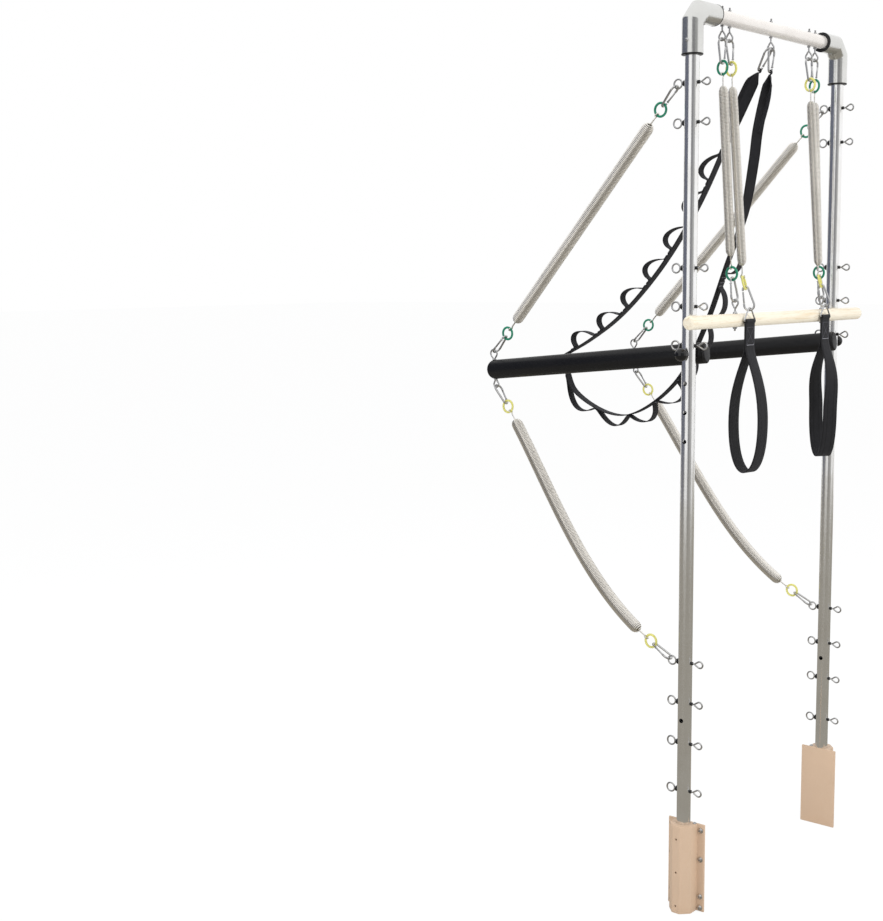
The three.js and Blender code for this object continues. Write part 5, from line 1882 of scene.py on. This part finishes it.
@dataclass
class HandLoopStrap:
    """The strap of sewn hand loops, from the middle hook round the push-through bar and back.

    Attributes:
        tip: Its width at its ends.
        taper: How far its ends are drawn in.
        twist_lengths: How far from the hook each run is turned.
        twist_lean: The power that draws the turn toward the hook.
        fold_lean: The power that draws the fold's bulge toward the eye.
        fold_rise: How fast the fold lifts onto the strap.
        lap: How far over the strap the fold lies, in thicknesses.
        front_shares: The front run, as shares of the way from hook to bar, along and down.
        rear_shares: The rear run.
        wrap: Where its way round the bar starts and ends, in degrees.
        loop_span: A front hand loop's share of its pitch.
        front_loops: The first and last share and the count of the front run's hand loops.
        rear_loops: The shares of each hand loop's start and end on the rear run.
        rear_end: The share of the rear run that the last tab keeps clear of.
        front_handles: The handles of a front loop's curve, along and out from its chord, as shares of it.
        rear_handles: The same of the rear loops, the last pair for all that follow.
    """

    bar: PushThroughBar
    width: float = 25
    thickness: float = 2.4
    tip: float = 5
    taper: float = 25
    eye_slack: float = 0.8
    twist: float = 62
    twist_lengths: Pair = (190, 400)
    twist_lean: float = 0.6
    slack: float = 0.6
    fold_length: float = 135
    fold_bulge: float = 8
    fold_lean: float = 0.7
    fold_rise: float = 6
    fold_steps: int = 22
    lap: float = 0.96
    front_shares: tuple[Pair, ...] = (
        (0.145, 0.201), (0.324, 0.469), (0.505, 0.668), (0.712, 0.829), (0.884, 0.918))
    rear_shares: tuple[Pair, ...] = (
        (0.973, 1.092), (0.829, 1.157), (0.693, 1.173), (0.56, 1.133), (0.408, 1.033),
        (0.283, 0.859), (0.19, 0.674), (0.109, 0.508), (0.067, 0.338), (0.052, 0.246))
    wrap: Pair = (115, 240)
    loop_span: float = 0.714
    front_loops: tuple[float, float, int] = (0.2285, 0.9897, 7)
    rear_loops: tuple[Pair, ...] = (
        (0.015, 0.115), (0.121, 0.203), (0.206, 0.276), (0.282, 0.351),
        (0.357, 0.418), (0.4275, 0.491), (0.506, 0.571), (0.601, 0.668))
    rear_end: float = 0.69
    front_handles: Outline = ((0.4, 0.62), (1.1, 0.78))
    rear_handles: tuple[Outline, ...] = (
        ((0.3, 0.34), (0.76, 0.62)), ((0.3, 0.34), (0.76, 0.62)), ((0.2, 0.45), (0.85, 0.75)),
        ((0.35, 0.6), (1.1, 0.8)), ((0, 0.6), (0.8, 0.5)))
    spread: float = 5.8
    leans: Pair = (-29, -4)
    facing: float = 84

    def middle_point(self, shares: Pair) -> Vector:
        """A point of the upright middle plane from its shares of the way to the bar."""
        uprights = self.bar.uprights
        end = self.bar.place @ Vector((0, -self.bar.length, 0))
        hook = uprights.height - uprights.hook_drop
        return Vector((0, shares[0] * end.y, hook + shares[1] * (end.z - hook)))

    def round_bar(self) -> list[Vector]:
        """The strap's way round the bar."""
        clear = 0.3 + self.slack + self.thickness / 2
        start, end = (radians(a) for a in self.wrap)
        wide, high = self.bar.thick / 2 + clear, self.bar.deep / 2 + clear
        return [self.bar.place @ Vector((0, u * wide - self.bar.length, v * high))
                for u, v in arc(0, 0, 1, start, end, 20)]

    @staticmethod
    def hang(lean: float) -> Vector:
        """The way that a link hangs, from its lean in degrees."""
        return Vector((0, sin(radians(lean)), -cos(radians(lean))))

    def links(self, link: Piece) -> list[Vector]:
        """Hangs both snap links.

        Args:
            link: A snap link to copy.

        Returns:
            The middle of each tip's wire.
        """
        kit = self.bar.uprights.hardware
        eye = self.bar.uprights.hook_eye(0)
        inside = eye.radius - kit.nest(eye.gauge, kit.link_gauge)
        tips = []
        for i, (lean, word) in enumerate(zip(self.leans, ("front", "rear"))):
            aside = (i - 0.5) * self.spread
            seat = eye.centre + Vector((0, aside, -sqrt(inside**2 - aside**2)))
            hang = self.hang(lean)
            normal = Line.facing(hang, self.facing)
            up = -hang
            piece = copied(link, f"strap_{word}_snap", frame_of(up.cross(normal), up, normal, seat))
            fit(piece, Body.FRAME, Slot.STEEL, f"strap_{word}_link")
            tips.append(seat + hang * (kit.link_length - kit.link_gauge))
        return tips

    def end_eye(self, tip: Vector, start: Vector) -> list[Vector]:
        """The strap's turn round a link's tip, from beside the strap round to its start.

        Args:
            tip: The middle of the tip's wire.
            start: The strap's start.

        Returns:
            Its points.
        """
        radius = (start - tip).length
        down = (start - tip).normalized()
        side = X.cross(down)
        angles = [radians(a) for a in range(200, 0, -20)]
        return [tip + down * (radius * cos(a)) + side * (radius * sin(a)) for a in angles]

    def end_fold(self, run: Route, turn: Measure, width: Measure, bulge: float) -> Piece:
        """The strap's end turned back along itself, standing off it before both are sewn together.

        Args:
            run: The strap from that end.
            turn: Its turn at each distance.
            width: Its width at each distance.
            bulge: How far the fold stands off, along Y.

        Returns:
            The fold.
        """
        lap = copysign(self.thickness * self.lap, bulge)
        points = []
        for i in range(self.fold_steps + 1):
            share = i / self.fold_steps
            off = bulge * sin(pi * share**self.fold_lean) + lap * min(1, self.fold_rise * share)
            points.append(run.at(share * self.fold_length) + Y * off)
        return band("end_fold", points, width, self.thickness, X, twist=turn)

    def build(self, link: Piece) -> None:
        """Makes the strap, its hand loops and its stitching."""
        kit = self.bar.uprights.hardware
        tips = self.links(link)
        reach = (kit.link_gauge + self.thickness) / 2 + 0.3 + self.eye_slack
        starts = [tip + self.hang(lean) * reach for tip, lean in zip(tips, self.leans)]
        wrap = self.round_bar()
        front = catmull([starts[0], *(self.middle_point(s) for s in self.front_shares), wrap[0]])
        rear = catmull([wrap[-1], *(self.middle_point(s) for s in self.rear_shares), starts[1]])
        route = [*front.spaced(8), *wrap[1:-1], *rear.spaced(8)]
        total = Route(route).length

        def width(distance: float) -> float:
            """The strap's width, drawn in at both ends."""
            share = min(1.0, min(distance, total - distance) / self.taper)
            return self.tip + max(0.0, share) * (self.width - self.tip)

        def turn(distance: float) -> float:
            """The strap's turn near the hook."""
            ahead, behind = (sin(pi * min(1.0, max(0.0, gone) / reach) ** self.twist_lean)
                             for gone, reach in zip((distance, total - distance), self.twist_lengths))
            return radians(self.twist) * (ahead - behind)

        finishes = kit.finishes
        strap = band("hand_loop_webbing", route, width, self.thickness, X, twist=turn)
        eyes = [band("end_eye", self.end_eye(tip, start), lambda s: self.tip, self.thickness, X)
                for tip, start in zip(tips, starts)]
        folds = [self.end_fold(Route(route), turn, width, -self.fold_bulge),
                 self.end_fold(Route(route[::-1]), lambda s: turn(total - s), width, self.fold_bulge)]
        bands, tacks, pale = self.hand_loops(front, rear)
        whole = dress(join("hand_loop_webbing", [strap, *eyes, *folds, *bands]), finishes.strap)
        ends = (starts[1], wrap[8])
        stretch(whole, Slot.WEBBING, ends, "hand_loop_strap")
        for name, rows, finish in (("hand_loop_stitching", tacks, finishes.thread),
                                   ("hand_loop_seam", pale, finishes.pale_thread)):
            stretch(dress(stitches(name, rows, 0.6, 2.0, 0.7), finish), Slot.WEBBING, ends)

    def hand_loops(self, front: Route, rear: Route) -> tuple[list[Piece], list[Ring], list[Ring]]:
        """Makes every hand loop.

        Args:
            front: The run from the hook to the bar.
            rear: The run from the bar back to the hook.

        Returns:
            The bands, the rows of dark stitches on the front run and those of pale ones on the rear run.
        """
        first, last, count = self.front_loops
        pitch = (last - first) / count
        gap = (1 - self.loop_span) * pitch
        bands, tacks, pale = [], [], []
        for i in range(count):
            start = first + i * pitch
            spot = (start, start + self.loop_span * pitch)
            bands.append(self.hand_loop(front, spot, (gap * 0.4, gap * 0.4), self.front_handles, tacks))
        marks = (0.0, *(share for pair in self.rear_loops for share in pair), self.rear_end)
        for i, spot in enumerate(self.rear_loops):
            tabs = tuple(0.45 * (marks[k + 1] - marks[k]) for k in (2 * i, 2 * i + 2))
            handles = self.rear_handles[min(i, len(self.rear_handles) - 1)]
            bands.append(self.hand_loop(rear, spot, tabs, handles, pale))
        return bands, tacks, pale

    def hand_loop(self, run: Route, spot: Pair, tabs: Pair, handles: Outline,
                  rows: list[Ring]) -> Piece:
        """A band bowed out from the strap, with a sewn tab at each end.

        Args:
            run: The strap's run.
            spot: The shares of the run where the band leaves it and comes back.
            tabs: The lengths of its tabs, as shares of the run.
            handles: The handles of its curve, as shares of its chord.
            rows: Where the stitches across its tabs are noted.

        Returns:
            The band.
        """
        start, end = (share * run.length for share in spot)
        before, after = (share * run.length for share in tabs)
        a, b = run.at(start), run.at(end)
        chord = b - a
        outward = chord.cross(X)
        first, second = (a + chord * along + outward * out for along, out in handles)
        lift = self.thickness * 0.95

        def raised(distance: float, height: float = lift) -> Vector:
            """A point over the strap's outer face."""
            return run.at(distance) + run.along(distance).cross(X) * height

        bow = [bezier(a, first, second, b, i / 16) for i in range(2, 15)]
        lap = catmull([raised(start - before), raised(start - before / 2), raised(start), *bow, raised(end),
                       raised(end + after / 2), raised(end + after)], 4)
        half = X * (self.width / 2 - 3)
        for distance in (start - 0.7 * before, start - 0.15 * before, end + 0.15 * after, end + 0.7 * after):
            point = raised(distance, lift + self.thickness * 0.46)
            rows.append([point - half, point + half])
        return band("hand_loop", lap.spaced(4), lambda s: self.width - 1, self.thickness * 0.9, X)


@dataclass(frozen=True)
class Lamp:
    """A soft rectangular lamp, its lengths in metres."""

    name: str
    place: Triple
    aim: Triple
    size: Pair
    watts: float

    def hang(self) -> None:
        """Hangs the lamp, unseen in reflections."""
        bpy.ops.object.light_add(type="AREA", location=self.place)
        lamp = bpy.context.object
        lamp.name = self.name
        lamp.data.shape = "RECTANGLE"
        lamp.data.size, lamp.data.size_y = self.size
        lamp.data.energy = self.watts
        lamp.visible_glossy = False
        lamp.rotation_euler = (Vector(self.aim) - Vector(self.place)).to_track_quat("-Z", "Y").to_euler()


@dataclass(frozen=True)
class Card:
    """An upright card that only polished metal mirrors.

    Attributes:
        bearing: The way to its middle from the tower, in degrees from the X axis.
        width: Its width, in degrees as the tower sees it.
    """

    name: str
    bearing: float
    width: float
    tint: Triple

    def stand(self, distance: float, height: float) -> None:
        """Stands the card on the floor, facing the tower.

        Args:
            distance: How far away it stands, in metres.
            height: Its height in metres.
        """
        deselect()
        bpy.ops.mesh.primitive_plane_add(size=1, location=(0, 0, 0))
        across = 2 * distance * tan(radians(self.width / 2))
        aside = Quaternion(Z, radians(self.bearing))
        middle = aside @ (X * distance) + Z * (height / 2)
        turn = (aside @ -X).to_track_quat("Z", "Y").to_matrix().to_4x4()
        shape = Matrix.Translation(middle) @ turn @ Matrix.Diagonal((across, height, 1, 1))
        bpy.context.object.data.transform(shape)
        show_to_metal(self.name, self.tint)


def glow(tree: Tree, tint: Triple, strength: float = 1) -> Socket:
    """Adds an even glow to a material."""
    return add(tree, "ShaderNodeEmission", "Emission", {"Color": (*tint, 1), "Strength": strength})


def show_to_metal(name: str, tint: Triple) -> None:
    """Gives the newest card an even glow that is seen in reflections alone.

    Args:
        name: The card's name.
        tint: The colour that it shows.
    """
    card = bpy.context.object
    card.name = name
    card.visible_camera = card.visible_shadow = card.visible_diffuse = card.visible_transmission = False
    material = bpy.data.materials.new(name)
    material.use_nodes = True
    tree = material.node_tree
    tree.links.new(glow(tree, tint), tree.nodes["Material Output"].inputs["Surface"])
    dress(card, material)


@dataclass
class Studio:
    """The pale floor and background, the soft lamps, the cards that metal mirrors, and the camera.

    Attributes:
        eye: Where the camera stands, in millimetres.
        focal: Its focal length in pixels of the picture.
        reach: How far it sees, in metres.
        card_distance: How far the cards stand from the tower, in metres.
    """

    eye: Vector = field(default_factory=lambda: Vector((3127.4, 1682.8, 1474.6)))
    yaw: float = 41.02
    pitch: float = 7.31
    roll: float = -0.60
    focal: float = 1435.5
    picture: tuple[int, int] = (883, 921)
    sensor: float = 36
    reach: float = 200
    floor_size: float = 120
    floor_drop: float = 0.0005
    card_drop: float = 0.0003
    card_distance: float = 6
    card_height: float = 5
    low_tint: Triple = (0.32, 0.30, 0.26)
    cards: tuple[Card, ...] = (
        Card("dark_card", bearing=-61, width=84, tint=(0.14, 0.15, 0.19)),
        Card("middle_card", bearing=41, width=30, tint=(0.25, 0.25, 0.26)),
        Card("pale_card", bearing=71, width=30, tint=(0.40, 0.40, 0.40)))
    lamps: tuple[Lamp, ...] = (
        Lamp("key_lamp", place=(1.2, 4.2, 3.4), aim=(0, 0, 1.2), size=(2.4, 2.4), watts=110),
        Lamp("top_lamp", place=(0.3, -0.6, 4.6), aim=(0, -0.2, 1.0), size=(3.0, 3.0), watts=70),
        Lamp("fill_lamp", place=(3.6, -2.8, 2.2), aim=(0, -0.2, 1.0), size=(2.0, 2.6), watts=40))

    def camera(self) -> None:
        """Sets up the camera at the photograph's viewpoint."""
        yaw, pitch, roll = (radians(a) for a in (self.yaw, self.pitch, self.roll))
        look = Vector((-cos(yaw) * cos(pitch), -sin(yaw) * cos(pitch), -sin(pitch)))
        level = look.cross(Z).normalized()
        up = level.cross(look)
        right = level * cos(roll) + up * sin(roll)
        top = up * cos(roll) - level * sin(roll)
        bpy.ops.object.camera_add()
        camera = bpy.context.object
        camera.name = "camera"
        camera.matrix_world = in_metres(frame_of(right, top, -look, self.eye))
        camera.data.sensor_width = self.sensor
        camera.data.lens = self.focal / max(self.picture) * self.sensor
        camera.data.clip_end = self.reach
        bpy.context.scene.camera = camera

    def pale(self, tree: Tree, plain: Socket, seen: Socket, output: str) -> None:
        """Shows one shader to the camera, to gloss and to glass, and lights with the other.

        Args:
            tree: The nodes of the material or the world.
            plain: The shader that lights.
            seen: The shader that is seen.
            output: The name of the tree's output node.
        """
        factor = add(tree, "ShaderNodeLightPath", "Is Camera Ray", {})
        rays = factor.node.outputs
        for name in ("Is Glossy Ray", "Is Transmission Ray"):
            factor = add(tree, "ShaderNodeMath", "Value", {0: factor, 1: rays[name]}, operation="MAXIMUM")
        mix = add(tree, "ShaderNodeMixShader", "Shader", {"Fac": factor, 1: plain, 2: seen})
        tree.links.new(mix, tree.nodes[output].inputs["Surface"])

    def world(self) -> None:
        """Lights softly from all round, behind a white background."""
        world = bpy.data.worlds.new("studio_world")
        world.use_nodes = True
        bpy.context.scene.world = world
        tree = world.node_tree
        plain = tree.nodes["Background"]
        plain.inputs["Color"].default_value = (0.97, 0.98, 1.0, 1)
        plain.inputs["Strength"].default_value = 0.62
        seen = add(tree, "ShaderNodeBackground", "Background", {"Color": (1, 1, 1, 1), "Strength": 1})
        self.pale(tree, plain.outputs[0], seen, "World Output")

    def floor(self) -> None:
        """Lays a wide pale floor that keeps the shadows."""
        deselect()
        bpy.ops.mesh.primitive_plane_add(size=self.floor_size, location=(0, 0, -self.floor_drop))
        floor = settle(bpy.context.object, "studio_floor")
        nodes = Nodes("pale_floor")
        nodes.set(Base_Color=(0.95, 0.95, 0.95, 1), Roughness=0.9, Specular_IOR_Level=0.1)
        plain = nodes.shader.outputs[0]
        tree = nodes.material.node_tree
        white = glow(tree, (1, 1, 1), 1.03)
        seen = nodes.add("ShaderNodeMixShader", "Shader", {"Fac": 0.9, 1: plain, 2: white})
        self.pale(tree, plain, seen, "Material Output")
        dress(floor, nodes.material)

    def build(self) -> None:
        """Sets up the whole studio."""
        bpy.context.scene.view_settings.view_transform = "Standard"
        self.camera()
        self.world()
        self.floor()
        for lamp in self.lamps:
            lamp.hang()
        deselect()
        bpy.ops.mesh.primitive_plane_add(size=2 * self.card_distance, location=(0, 0, -self.card_drop))
        show_to_metal("low_card", self.low_tint)
        for card in self.cards:
            card.stand(self.card_distance, self.card_height)


def main() -> None:
    """Builds the tower, piece by piece, and its studio."""
    logging.basicConfig(level=logging.INFO, format="%(name)s: %(message)s")
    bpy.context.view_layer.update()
    Studio().build()
    finishes = Finishes()
    hardware = Hardware(finishes)
    uprights = Uprights(hardware)
    uprights.build()
    patterns = (hardware.snap_link(), hardware.plastic_ring())
    bar = PushThroughBar(uprights)
    bar.build(patterns)
    RollDownBar(uprights).build(patterns)
    FootLoop(uprights, Side.RIGHT, 178, -10, Body.FOOT_RIGHT).build(patterns)
    FootLoop(uprights, Side.LEFT, -200, -40, Body.FOOT_LEFT).build(patterns)
    HandLoopStrap(bar).build(patterns[0])
    for pattern in patterns:
        bpy.data.objects.remove(pattern, do_unlink=True)


if __name__ == "__main__":
    main()
